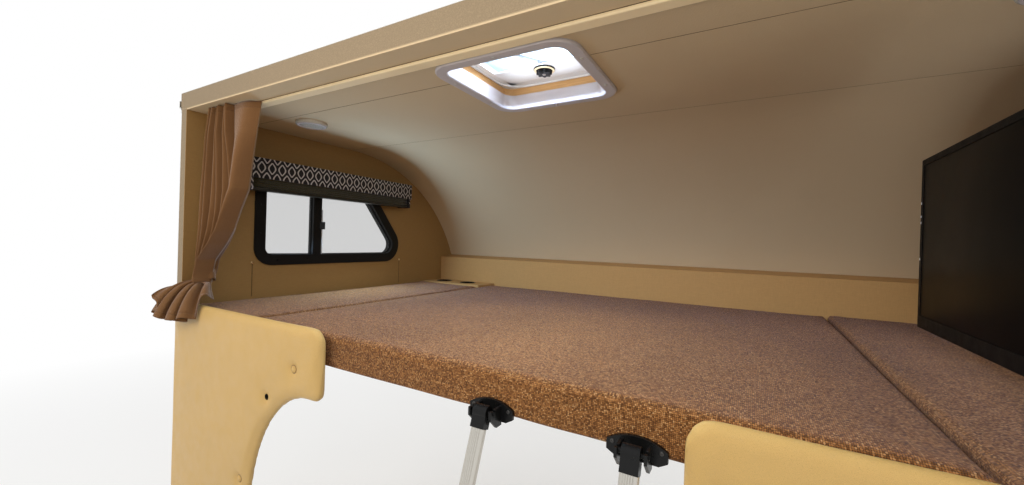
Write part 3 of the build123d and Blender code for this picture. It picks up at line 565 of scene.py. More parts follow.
@dataclass(frozen=True)
class Moulded(Finish):
    """Moulded plastic with a fine stipple, paler where its edges are rubbed."""

    colour: Colour
    rough: float = 0.45
    stipple: float = 1500.0
    edge: float = 0.0015
    lift: float = 1.5
    gloss: float = 0.5

    def paint(self, tree: Tree, place: bpy.types.NodeSocket) -> Inputs:
        """Stipple, clouds, and rubbed edges where the rounded shading leaves the flat one.

        Args:
            tree: The material's nodes.
            place: The place on the piece, in object coordinates.

        Returns:
            Values, numbers or sockets by input name.
        """
        soft = tree.soft_edge(self.edge)
        flat = tree.add("NewGeometry").outputs["Normal"]
        turned = tree.number("VectorMath", {0: soft, 1: flat}, "Value", operation="DOT_PRODUCT")
        rubbed = turned.spread(0.995, 0.9) * tree.noise(place, 60.0, 4.0)
        base = tree.shades(tree.noise(place, 9.0, 4.0, 0.6), self.colour, 0.93, 1.07)
        base = tree.blend(rubbed * 0.6, base, tint(self.colour, self.lift))
        bump = tree.bump(tree.noise(place, self.stipple, 2.0), 0.00012, soft)
        rough = tree.noise(place, 40.0, 3.0).spread(0.3, 0.7, (self.rough - 0.06, self.rough + 0.06))
        return dict(Base_Color=base, Roughness=rough, Normal=bump, Specular_IOR_Level=self.gloss)


@dataclass(frozen=True)
class Metal(Finish):
    """Painted, plated or anodised metal, with faint drawing lines along one axis."""

    colour: Colour
    rough: float = 0.4
    bare: float = 1.0
    lines: Triple = (2200, 2200, 30)
    orange_peel: float = 0.0

    def paint(self, tree: Tree, place: bpy.types.NodeSocket) -> Inputs:
        """Drawing lines under smudges, and orange peel in the paint.

        Args:
            tree: The material's nodes.
            place: The place on the piece, in object coordinates.

        Returns:
            Values, numbers or sockets by input name.
        """
        drawn = tree.grain(self.lines, 3.0)
        smudge = tree.noise(place, 14.0, 4.0, 0.6)
        base = tree.shades(drawn, self.colour, 0.9, 1.08)
        base = tree.blend(smudge * 0.2, base, tint(self.colour, 0.8))
        fine = tree.bump(drawn, 0.00006, tree.soft_edge(0.0012))
        bump = tree.bump(tree.noise(place, 700.0, 1.0), 0.0001 * self.orange_peel, fine)
        rough = smudge.spread(0.3, 0.7, (self.rough - 0.07, self.rough + 0.07))
        gloss = 0.5 if self.bare else 0.22
        return dict(
            Base_Color=base, Metallic=self.bare, Roughness=rough, Normal=bump,
            Specular_IOR_Level=gloss,
        )


@dataclass(frozen=True)
class Timber(Finish):
    """Planed wood or plywood: grain along one axis, and plies that show on the edges."""

    pale: Colour
    deep: Colour
    grain: Triple = (2.2, 38, 38)
    ply: float = 0.0

    def paint(self, tree: Tree, place: bpy.types.NodeSocket) -> Inputs:
        """Bands of the year rings, fibres, and plies on the upright faces.

        Args:
            tree: The material's nodes.
            place: The place on the piece, in object coordinates.

        Returns:
            Values, numbers or sockets by input name.
        """
        band = (tree.grain(self.grain, 4.0) * 7.0).step("FRACT")
        fibre = tree.grain(tuple(20 * part for part in self.grain), 2.0, 0.5)
        base = tree.blend(band * 0.5, self.pale, self.deep)
        base = tree.blend(fibre * 0.4, base, tint(self.pale, 0.8))
        if self.ply:
            layer = (tree.parts(place)[2] / self.ply).step("FRACT") > 0.5
            edge = layer * (tree.normal()[2] < 0.5)
            base = tree.blend(edge * 0.55, base, self.deep)
        bump = tree.bump(fibre, 0.0003, tree.soft_edge(0.001))
        return dict(Base_Color=base, Roughness=0.62, Normal=bump, Specular_IOR_Level=0.3)


@dataclass(frozen=True)
class Gelcoat(Finish):
    """Glossy white outer skin, faintly wavy, with pale streaks of weathering."""

    name: str = "gelcoat"
    colour: Colour = (0.70, 0.70, 0.68)
    streak: Colour = (0.52, 0.50, 0.44)
    rough: float = 0.14
    coat: float = 0.35

    def paint(self, tree: Tree, place: bpy.types.NodeSocket) -> Inputs:
        """Streaks that run down, over faint clouds.

        Args:
            tree: The material's nodes.
            place: The place on the piece, in object coordinates.

        Returns:
            Values, numbers or sockets by input name.
        """
        cloud = tree.noise(place, 2.0, 4.0)
        base = tree.shades(cloud, self.colour, 0.97, 1.02)
        base = tree.blend(tree.grain((28, 28, 1.6), 4.0).spread(0.5, 0.85) * 0.16, base, self.streak)
        bump = tree.bump(tree.noise(place, 6.0, 1.0), 0.0016, tree.soft_edge(0.003))
        rough = cloud.spread(0.3, 0.7, (self.rough, self.rough + 0.12))
        return dict(Base_Color=base, Roughness=rough, Normal=bump, Coat_Weight=self.coat, Coat_Roughness=0.05)


@dataclass(frozen=True)
class Sandwich(Finish):
    """Bonded panel: an inner face, a white outer skin and, on its cut edges, the foam core between them.

    The outer skin and the core begin at their distances from the origin along the panel's axis.
    """

    axis: int
    outer: float
    inner: float
    face: Colour
    skin: Colour = (0.70, 0.70, 0.68)
    core: Colour = (0.27, 0.20, 0.12)

    def paint(self, tree: Tree, place: bpy.types.NodeSocket) -> Inputs:
        """Linen print inside, gloss outside and foam between.

        Args:
            tree: The material's nodes.
            place: The place on the piece, in object coordinates.

        Returns:
            Values, numbers or sockets by input name.
        """
        depth = abs(tree.parts(place)[self.axis])
        outside = depth > self.outer
        print_ = tree.linen()
        cloud = tree.noise(place, 1.8, 4.0, 0.6)
        face = tree.shades(print_.spread(0.32, 0.68), self.face, 0.82, 1.16)
        face = tree.blend(cloud * 0.35, face, tint(self.face, 0.84))
        core = tree.shades(tree.cells(place, 420.0), self.core, 0.8, 1.1)
        colour = tree.blend(depth > self.inner, face, core)
        colour = tree.blend(outside, colour, tree.shades(cloud, self.skin, 0.97, 1.02))
        bump = tree.bump(print_ * (outside * -1.0 + 1.0), 0.0003, tree.soft_edge(0.002))
        rough = outside.spread(0.0, 1.0, (0.6, 0.25))
        return dict(Base_Color=colour, Roughness=rough, Normal=bump, Specular_IOR_Level=0.4)


@dataclass(frozen=True)
class Pane(Finish):
    """Tinted glass or another clear sheet, thin enough to let light through."""

    colour: Colour
    alpha: float
    rough: float = 0.03
    gloss: float = 0.5

    def paint(self, tree: Tree, place: bpy.types.NodeSocket) -> Inputs:
        """A faint haze.

        Args:
            tree: The material's nodes.
            place: The place on the piece, in object coordinates.

        Returns:
            Values, numbers or sockets by input name.
        """
        haze = tree.noise(place, 12.0, 4.0, 0.6)
        base = tree.shades(haze, self.colour, 0.85, 1.15)
        rough = haze.spread(0.3, 0.7, (self.rough, self.rough + 0.03))
        return dict(
            Base_Color=base, Roughness=rough, Alpha=self.alpha, IOR=1.5,
            Specular_IOR_Level=self.gloss,
        )


@dataclass(frozen=True)
class Lens(Finish):
    """Moulded lamp lens with fine prisms inside."""

    colour: Colour
    prism: float = 0.004

    def paint(self, tree: Tree, place: bpy.types.NodeSocket) -> Inputs:
        """A square grid of prisms, seen from above.

        Args:
            tree: The material's nodes.
            place: The place on the piece, in object coordinates.

        Returns:
            Values, numbers or sockets by input name.
        """
        x, y, _ = tree.parts(place)
        turn = 2 * math.pi / self.prism
        prisms = x.wave(turn) * y.wave(turn)
        base = tree.shades(prisms.spread(-1.0, 1.0), self.colour, 0.86, 1.0)
        bump = tree.bump(prisms, 0.0003, tree.soft_edge(0.001))
        return dict(Base_Color=base, Roughness=0.22, Normal=bump, Coat_Weight=0.4, Coat_Roughness=0.1)


@dataclass(frozen=True)
class Rubber(Finish):
    """Dull rubber with a dusty bloom."""

    colour: Colour

    def paint(self, tree: Tree, place: bpy.types.NodeSocket) -> Inputs:
        """Dust on a fine grain.

        Args:
            tree: The material's nodes.
            place: The place on the piece, in object coordinates.

        Returns:
            Values, numbers or sockets by input name.
        """
        base = tree.shades(tree.noise(place, 50.0, 5.0, 0.7) * 0.5, self.colour, 1.0, 4.0)
        bump = tree.bump(tree.noise(place, 900.0, 2.0), 0.0002, tree.soft_edge(0.0015))
        return dict(Base_Color=base, Roughness=0.85, Normal=bump)


FINISHES = (
    Gelcoat(),
    Sandwich("roof_skin", 2, 0.8980, 0.8415, (0.40, 0.30, 0.18), (0.64, 0.64, 0.62)),
    # wall_laminate's face is the linen board's fabric, darkened as painted shade
    Sandwich("wall_laminate", 0, 1.2685, 1.2325, (0.33, 0.185, 0.058)),
    Timber("floor_board", (0.56, 0.42, 0.26), (0.40, 0.27, 0.15), ply=0.0036),
    Timber("plywood", (0.58, 0.41, 0.23), (0.40, 0.26, 0.13), ply=0.003),
    Timber("framing_wood", (0.72, 0.42, 0.17), (0.50, 0.26, 0.09)),
    Metal("steel", (0.006, 0.006, 0.006), 0.36, 0.0, orange_peel=1.0),
    Metal("hinge_steel", (0.62, 0.62, 0.60), 0.35, lines=(30, 2200, 2200)),
    Headliner(),
    Moulded("trim_cream", (0.88, 0.70, 0.43), 0.4),
    Linen("linen_board", (0.50, 0.285, 0.105)),
    Tweed(),
    Vinyl(),
    # dark vinyl for the rings round the buttons: painted shade of their creases
    Vinyl("vinyl_crease", (0.20, 0.105, 0.030)),
    # curtain_cloth: its own brown, darkened further as painted shade for the shadow that falls on the curtain
    Cloth("curtain_cloth", (0.19, 0.090, 0.033), seam=0.020, lining=0.6225),
    Cloth("shade_cloth", (0.13, 0.105, 0.035)),
    OgeeCloth(),
    Moulded("black_plastic", (0.005, 0.005, 0.005), 0.30, lift=3.0, gloss=0.22),
    Moulded("white_plastic", (0.78, 0.78, 0.76), 0.35),
    # white trim plastic greyed as painted shade, for the vent's garnish and the lamp rings
    Moulded("vent_trim", (0.52, 0.47, 0.46), 0.40),
    Moulded("grey_strip", (0.45, 0.45, 0.45), 0.5),
    Metal("black_frame", (0.005, 0.005, 0.005), 0.42, 0.0, orange_peel=1.0),
    Pane("window_glass", (0.10, 0.12, 0.12), 0.22),
    Pane("clear_dome", (0.66, 0.82, 0.90), 0.68, 0.22),
    Metal("ladder_aluminium", (0.62, 0.59, 0.53), 0.34),
    Rubber("foot_rubber", (0.02, 0.02, 0.02)),
    Rubber("gasket_rubber", (0.008, 0.008, 0.008)),
    Lens("lamp_lens", (0.62, 0.57, 0.47)),
    Lens("marker_lens", (0.80, 0.26, 0.015), 0.006),
    Metal("screen_mesh", (0.30, 0.31, 0.32), 0.5, 0.0),
    Moulded("tv_gloss", (0.004, 0.004, 0.004), 0.42, 2600.0, lift=1.0, gloss=0.05),
    Pane("tv_glass", (0.002, 0.002, 0.002), 1.0, 0.30, 0.04),
    Metal("screw", (0.70, 0.69, 0.66), 0.3),
    Metal("brass_screw", (0.80, 0.62, 0.36), 0.3),
    Metal("dark_screw", (0.10, 0.095, 0.09), 0.45),
    # near black for holes and slots: painted shade inside them
    Moulded("dark_hole", (0.004, 0.003, 0.002), 0.9, gloss=0.1),
    Moulded("dark_rail", (0.010, 0.009, 0.006), 0.4),
    Moulded("sealant", (0.62, 0.61, 0.57), 0.6),
    Linen("dark_seam", (0.10, 0.055, 0.02)),
)


# Shapes


def block(mesh: Mesh, low: Point, high: Point, round_: float = 0.0) -> list:
    """Adds a block between two corners.

    Args:
        mesh: Where it is added.
        low: Lowest corner.
        high: Highest corner.
        round_: Rounding of all its edges.

    Returns:
        The block's vertices, or nothing once its edges are rounded.
    """
    low, high = Vector(low), Vector(high)
    made = bmesh.ops.create_cube(mesh, size=1.0)["verts"]
    bmesh.ops.scale(mesh, vec=high - low, verts=made)
    bmesh.ops.translate(mesh, vec=(low + high) / 2, verts=made)
    if not round_:
        return made
    bevel(mesh, {edge for vertex in made for edge in vertex.link_edges}, round_)
    return []


def bevel(mesh: Mesh, edges: Iterable, size: float, steps: int = 2) -> None:
    """Rounds edges."""
    bmesh.ops.bevel(
        mesh, geom=list(edges), offset=size, offset_type="OFFSET", segments=steps, profile=0.5,
        affect="EDGES", material=-1, clamp_overlap=True,
    )


def slab(mesh: Mesh, low: Point, high: Point, corner: float, steps: int) -> None:
    """Adds a block with rounded upright edges.

    Args:
        mesh: Where it is added.
        low: Lowest corner.
        high: Highest corner.
        corner: Radius of its upright edges.
        steps: Segments of their rounding.
    """
    made = block(mesh, low, high)
    edges = {edge for vertex in made for edge in vertex.link_edges}
    bevel(mesh, {e for e in edges if abs(e.verts[0].co.z - e.verts[1].co.z) > 0.001}, corner, steps)


def flat_ring(mesh: Mesh, low: Point, high: Point, corner: float, steps: int, wall: float) -> None:
    """Adds a slab with a hole through it, which leaves a wall of even width all round.

    Args:
        mesh: Where it is added.
        low: Lowest corner.
        high: Highest corner.
        corner: Radius of its upright edges.
        steps: Segments of their rounding.
        wall: Width of the wall.
    """
    slab(mesh, low, high, corner, steps)
    caps = [face for face in mesh.faces if abs(face.normal.z) > 0.9]
    bmesh.ops.inset_individual(mesh, faces=caps, thickness=wall, depth=0.0)
    inner = [edge for face in caps for edge in face.edges]
    bmesh.ops.delete(mesh, geom=caps, context="FACES_ONLY")
    bmesh.ops.bridge_loops(mesh, edges=inner)


def facing(place: Point, direction: Point) -> Matrix:
    """Turns +Z to a direction, and moves the origin to a place."""
    turn = Vector(direction).to_track_quat("Z", "Y").to_matrix().to_4x4()
    return Matrix.Translation(Vector(place)) @ turn


@dataclass(frozen=True)
class Head:
    """Round head of a screw or rivet: radius at its foot, height, depth of its socket, sides."""

    radius: float
    tall: float
    recess: float = 0.0
    sides: int = 14

    def add(self, mesh: Mesh, place: Point, direction: Point) -> None:
        """Adds a head that stands on a surface.

        Args:
            mesh: Where it is added.
            place: Its foot.
            direction: The way it faces.
        """
        where = facing(place, direction) @ Matrix.Translation((0, 0, self.tall / 2))
        made = bmesh.ops.create_cone(
            mesh, cap_ends=True, segments=self.sides, radius1=self.radius, radius2=self.radius * 0.8,
            depth=self.tall, matrix=where,
        )["verts"]
        way = Vector(direction).normalized()
        caps = [face for face in {f for v in made for f in v.link_faces} if len(face.verts) == self.sides]
        top = max(caps, key=lambda face: face.calc_center_median().dot(way))
        rim = list(top.edges)
        if self.recess:
            bmesh.ops.inset_region(mesh, faces=[top], thickness=self.radius * 0.42, depth=0.0)
            bmesh.ops.inset_region(mesh, faces=[top], thickness=self.radius * 0.05, depth=-self.recess)
        bevel(mesh, rim, self.tall * 0.3)


def lathe(mesh: Mesh, profile: Sequence[Pair], where: Matrix, steps: int) -> None:
    """Spins a closed profile round an axis.

    Args:
        mesh: Where it is added.
        profile: Its points in order, each a radius and a height.
        where: Takes the axis to its place.
        steps: Sides of the shape.
    """
    points = [mesh.verts.new((radius, 0.0, height)) for radius, height in profile]
    edges = [mesh.edges.new(pair) for pair in zip(points, points[1:])]
    edges.append(mesh.edges.new((points[-1], points[0])))
    made = bmesh.ops.spin(
        mesh, geom=points + edges, axis=(0, 0, 1), cent=(0, 0, 0), dvec=(0, 0, 0), angle=2 * math.pi,
        steps=steps, use_merge=True, use_duplicate=False,
    )["geom_last"]
    seen, todo = set(), [g for g in made if isinstance(g, bmesh.types.BMVert)] + points
    while todo:
        vertex = todo.pop()
        if vertex.is_valid and vertex not in seen:
            seen.add(vertex)
            todo += [edge.other_vert(vertex) for edge in vertex.link_edges]
    found = list(seen)
    bmesh.ops.transform(mesh, matrix=where, verts=found)
    bmesh.ops.remove_doubles(mesh, verts=found, dist=1e-6)


def merged_copy(obj: bpy.types.Object) -> Mesh:
    """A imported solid's mesh with its loose triangles joined and its flat faces made whole.

    Args:
        obj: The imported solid.

    Returns:
        Its merged mesh.
    """
    mesh = bmesh.new()
    mesh.from_mesh(obj.data)
    bmesh.ops.remove_doubles(mesh, verts=mesh.verts, dist=1e-5)
    bmesh.ops.dissolve_limit(mesh, angle_limit=math.radians(1.0), verts=mesh.verts, edges=mesh.edges)
    return mesh


def lay_out(mesh: Mesh, spot: Callable[[bmesh.types.BMVert], Pair]) -> None:
    """Gives cloth its UV map: each vertex's place on the flat cloth, in metres."""
    uv = mesh.loops.layers.uv.new("cloth")
    for face in mesh.faces:
        for loop in face.loops:
            loop[uv].uv = spot(loop.vert)


def path_length(points: Sequence[Vector]) -> float:
    """Length of a path through points."""
    return sum((b - a).length for a, b in zip(points, points[1:]))


def finished_data(name: str, mesh: Mesh) -> bpy.types.Mesh:
    """Turns a mesh in the making into mesh data, and frees it.

    Args:
        name: The data's name.
        mesh: The mesh, which is used up.

    Returns:
        The mesh data.
    """
    data = bpy.data.meshes.new(name)
    mesh.to_mesh(data)
    mesh.free()
    return data


def placed(name: str, data: Any) -> bpy.types.Object:
    """Puts a new object into the scene.

    Args:
        name: Its name.
        data: Its mesh, lamp or camera data.

    Returns:
        The object.
    """
    obj = bpy.data.objects.new(name, data)
    bpy.context.scene.collection.objects.link(obj)
    return obj


def evaluated(obj: bpy.types.Object) -> None:
    """Applies the piece's modifiers to its mesh.

    Args:
        obj: The piece.
    """
    graph = bpy.context.evaluated_depsgraph_get()
    data = bpy.data.meshes.new_from_object(obj.evaluated_get(graph), depsgraph=graph)
    old, obj.data = obj.data, data
    obj.modifiers.clear()
    bpy.data.meshes.remove(old)


def smooth(data: bpy.types.Mesh) -> None:
    """Smooths the shading of all faces."""
    data.polygons.foreach_set("use_smooth", [True] * len(data.polygons))


@dataclass(frozen=True)
class Padding:
    """How a padded form swells: its voxels, the pressure in it, how far a point may move, and how often its
    faces are halved afterwards."""

    voxel: float
    pressure: float
    cap: float
    rounds: int = 1
    frames: int = 20

    def swell(self, obj: bpy.types.Object, resting: Callable[[Vector], bool]) -> None:
        """Remeshes a piece, lets pressure swell it and subdivides it.

        Args:
            obj: The piece, slightly smaller than it will be.
            resting: Tells the points that lie on something and stay.
        """
        remesh = obj.modifiers.new("even", "REMESH")
        remesh.mode, remesh.voxel_size, remesh.adaptivity = "VOXEL", self.voxel, 0.0
        evaluated(obj)
        self.press(obj, resting)
        if self.rounds:
            rounder = obj.modifiers.new("rounder", "SUBSURF")
            rounder.levels = rounder.render_levels = self.rounds
            evaluated(obj)

    def press(self, obj: bpy.types.Object, resting: Callable[[Vector], bool]) -> None:
        """Runs the cloth simulation and keeps its result, with each point's way capped.

        Args:
            obj: The remeshed piece.
            resting: Tells the points that lie on something and stay.
        """
        before = [vertex.co.copy() for vertex in obj.data.vertices]
        group = obj.vertex_groups.new(name="resting")
        group.add([i for i, place in enumerate(before) if resting(place)], 1.0, "REPLACE")
        settings = obj.modifiers.new("cover", "CLOTH").settings
        settings.quality = 4
        settings.use_pressure = True
        settings.uniform_pressure_force = self.pressure
        settings.vertex_group_mass = group.name
        settings.effector_weights.gravity = 0.0
        for step in range(1, self.frames + 1):
            bpy.context.scene.frame_set(step)
        evaluated(obj)
        bpy.context.scene.frame_set(1)
        for vertex, start in zip(obj.data.vertices, before):
            way = vertex.co - start
            if way.length > self.cap:
                vertex.co = start + way.normalized() * self.cap


class Workshop:
    """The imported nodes, the finishes and what every sub-assembly does with a finished mesh."""

    def __init__(self, frame: dict[str, Any]) -> None:
        """Builds the finishes once.
        """
        self.nodes: dict[str, bpy.types.Object] = frame["nodes"]
        self.slots = {row["node"]: row["material_slot"] for row in frame["record"]["subparts"]}
        self.materials = {finish.name: finish.build() for finish in FINISHES}

    def dress(self, *nodes: str, finish: str | None = None) -> None:
        """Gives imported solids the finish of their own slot, or another one."""
        for node in nodes:
            obj = self.nodes[node]
            material = self.materials[finish or self.slots[node]]
            if not obj.material_slots:
                obj.data.materials.append(material)
            for place in obj.material_slots:
                place.material = material
            log.info("%s: packed solid in %s", node, material.name)

    def object(self, name: str, mesh: Mesh, finish: str, angle: float) -> bpy.types.Object:
        """Makes an object from a mesh, smooth where its faces meet under an angle in degrees.

        Args:
            name: The object's name.
            mesh: Its mesh, which is used up.
            finish: Name of its finish.
            angle: Smooth where faces meet under this many degrees.

        Returns:
            The object.
        """
        data = finished_data(name, mesh)
        smooth(data)
        data.set_sharp_from_angle(angle=math.radians(angle))
        data.materials.append(self.materials[finish])
        return placed(name, data)

    def sheet(self, name: str, mesh: Mesh, finish: str, wall: float) -> bpy.types.Object:
        """Makes a cloth object of an even thickness.

        Args:
            name: The object's name.
            mesh: Its middle surface, which is used up.
            finish: Name of its finish.
            wall: Its thickness.

        Returns:
            The object.
        """
        obj = self.object(name, mesh, finish, 180)
        thickness = obj.modifiers.new("cloth", "SOLIDIFY")
        thickness.thickness, thickness.offset = wall, 0.0
        evaluated(obj)
        return obj

    def ride(self, obj: bpy.types.Object, slot: str, body: str = "compartment") -> bpy.types.Object:
        """Puts a finished piece on its body.

        Args:
            obj: The piece.
            slot: Not used.
            body: The body it rides on.

        Returns:
            The same piece.
        """
        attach(obj, body)
        log.info("%s: %d faces on %s", obj.name, len(obj.data.polygons), body)
        return obj

    def piece(
        self, name: str, mesh: Mesh, finish: str, slot: str, body: str = "compartment", angle: float = 35.0
    ) -> bpy.types.Object:
        """Makes a hard piece: outward faces, its finish and its body.

        Args:
            name: The piece's name.
            mesh: Its mesh, which is used up.
            finish: Name of its finish.
            slot: The record's slot it takes its finish from.
            body: The body it rides on.
            angle: Smooth where its faces meet under this many degrees.

        Returns:
            The piece.
        """
        bmesh.ops.recalc_face_normals(mesh, faces=mesh.faces)
        return self.ride(self.object(name, mesh, finish, angle), slot, body)

    def blocks(
        self, name: str, boxes: Iterable[tuple[Point, Point]], round_: float, finish: str, slot: str,
        body: str = "compartment",
    ) -> None:
        """Makes one piece of blocks, each given by two corners.

        Args:
            name: The piece's name.
            boxes: Two corners of each block.
            round_: Rounding of their edges.
            finish: Name of its finish.
            slot: The record's slot it takes its finish from.
            body: The body it rides on.
        """
        mesh = bmesh.new()
        for low, high in boxes:
            block(mesh, low, high, round_)
        self.piece(name, mesh, finish, slot, body)

    def heads(
        self, name: str, spots: Iterable[tuple[Point, Point]], head: Head, finish: str = "screw",
        slot: str = "hinge_steel", body: str = "compartment",
    ) -> None:
        """Makes one piece of screw heads, each given by its foot and the way it faces.

        Args:
            name: The piece's name.
            spots: Foot and direction of each head.
            head: The head's shape.
            finish: Name of its finish.
            slot: The record's slot it takes its finish from.
            body: The body it rides on.
        """
        mesh = bmesh.new()
        for place, way in spots:
            head.add(mesh, place, way)
        self.piece(name, mesh, finish, slot, body)


@dataclass
class Assembly:
    """A sub-assembly that is made in the workshop."""

    shop: Workshop

    def build(self) -> None:
        """Builds its pieces and dresses its solids."""
        raise NotImplementedError


# Soft goods


@dataclass
class Berth(Assembly):
    """The three cushions of the bunk on their decks."""

    padding: Padding = Padding(voxel=0.0095, pressure=4.0, cap=0.0042, rounds=0)
    # what swells: its underside, and how far its top and its long sides stay inside the solid
    underside: float = 0.0623
    sunk: float = 0.0045
    gap: float = 0.0026
    corner: float = 0.0045
    rear_corner: float = 0.013
    # how far the ends press against their neighbours, and where the walls stop them
    press: float = 0.0014
    wall: float = 1.2294
    # the wide cushion's rear face, the brackets that hold it back, and its lip over the deck's edge
    rear: float = -0.990
    supports: Pair = (0.0985, 0.3835)
    lip_end: float = 0.014
    lip_depth: Pair = (0.002, 0.016)
    lip_height: Pair = (0.0515, 0.085)
    lip_front: float = -0.9745
    hem: float = 0.0508
    # the lowest point after the swelling
    lowest: float = 0.0508

    def build(self) -> None:
        """Builds the cushions and dresses the boards."""
        self.shop.dress("centre_deck", "side_board_left", "side_board_right")
        self.cushion("centre_cushion", "bunk", self.centre_lie)
        for side in Side:
            self.cushion(f"side_cushion_{side.word}", "compartment", self.waves)

    def cushion(self, node: str, body: str, lie: Callable[[Vector], Vector]) -> None:
        """Builds one cushion inside its solid.

        Args:
            node: The solid that it stands for.
            body: The body it rides on.
            lie: Moves a point of the swollen cushion to where it lies.
        """
        low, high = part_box(node)
        low.z = self.underside
        rear, top = low.y + self.gap + 0.001, high.z - self.sunk - 0.001
        mesh = bmesh.new()
        made = block(mesh, low + Vector((0.0, self.gap, 0.0)), high - Vector((0.0, self.gap, self.sunk)))
        edges = {e for v in made for e in v.link_edges if max(p.co.z for p in e.verts) > top}
        if node == "centre_cushion":
            back = {e for e in edges if all(p.co.y < rear and p.co.z > top for p in e.verts)}
            bevel(mesh, back, self.rear_corner, 3)
            edges -= back
        bevel(mesh, [e for e in edges if e.is_valid], self.corner)
        if node == "centre_cushion":
            lip_low = (low.x + self.lip_end, low.y + self.lip_depth[0], self.lip_height[0])
            block(mesh, lip_low, (high.x - self.lip_end, low.y + self.lip_depth[1], self.lip_height[1]))
        obj = self.shop.object(f"{node}_cover", mesh, "tweed", 60)
        self.padding.swell(obj, lambda place: place.z < low.z + 0.004 and place.y > self.rear + 0.03)
        self.lowest = min(vertex.co.z for vertex in obj.data.vertices)
        left, right = max(low.x - self.press, -self.wall), min(high.x + self.press, self.wall)
        for vertex in obj.data.vertices:
            vertex.co = lie(vertex.co)
            vertex.co.x = max(left, min(right, vertex.co.x))
        smooth(obj.data)
        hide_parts(node)
        self.shop.ride(obj, "tweed", body)

    def centre_lie(self, place: Vector) -> Vector:
        """The wide cushion: gentle waves on top, and a back that bulges and hangs between the brackets.

        Args:
            place: A point of the swollen cushion.

        Returns:
            Where it lies.
        """
        moved = self.waves(place)
        back = max(0.0, 1.0 - (place.y - self.rear) / 0.06)
        lip_top = self.lip_height[1]
        if place.y < self.lip_front and place.z < lip_top:
            moved.z = self.hem + (place.z - self.lowest) * (lip_top - self.hem) / (lip_top - self.lowest)
        if not back:
            return moved
        nearest = min(abs(place.x - x) for x in self.supports)
        pinch = math.exp(-((nearest / 0.07) ** 2))
        low = clamp((0.100 - place.z) / 0.045)
        swing = 0.5 + 0.5 * noise.noise(Vector((place.x * 4.1, 0.3, 0.0)))
        moved.y -= back * low * (0.0035 * swing + 0.004 * pinch)
        moved.z += back * low * (0.006 * pinch - 0.002 * swing)
        return moved

    @staticmethod
    def waves(place: Vector) -> Vector:
        """Soft hollows where people lie, only on the upper side.

        Args:
            place: A point of the swollen cushion.

        Returns:
            Where it lies.
        """
        up = clamp((place.z - 0.085) / 0.03)
        slow = noise.noise(Vector((place.x * 2.3, place.y * 2.3, 0.4)))
        quick = noise.noise(Vector((place.x * 7.0, place.y * 7.0, 1.7)))
        return place + Vector((0.0, 0.0, up * (0.0022 * slow + 0.0009 * quick)))


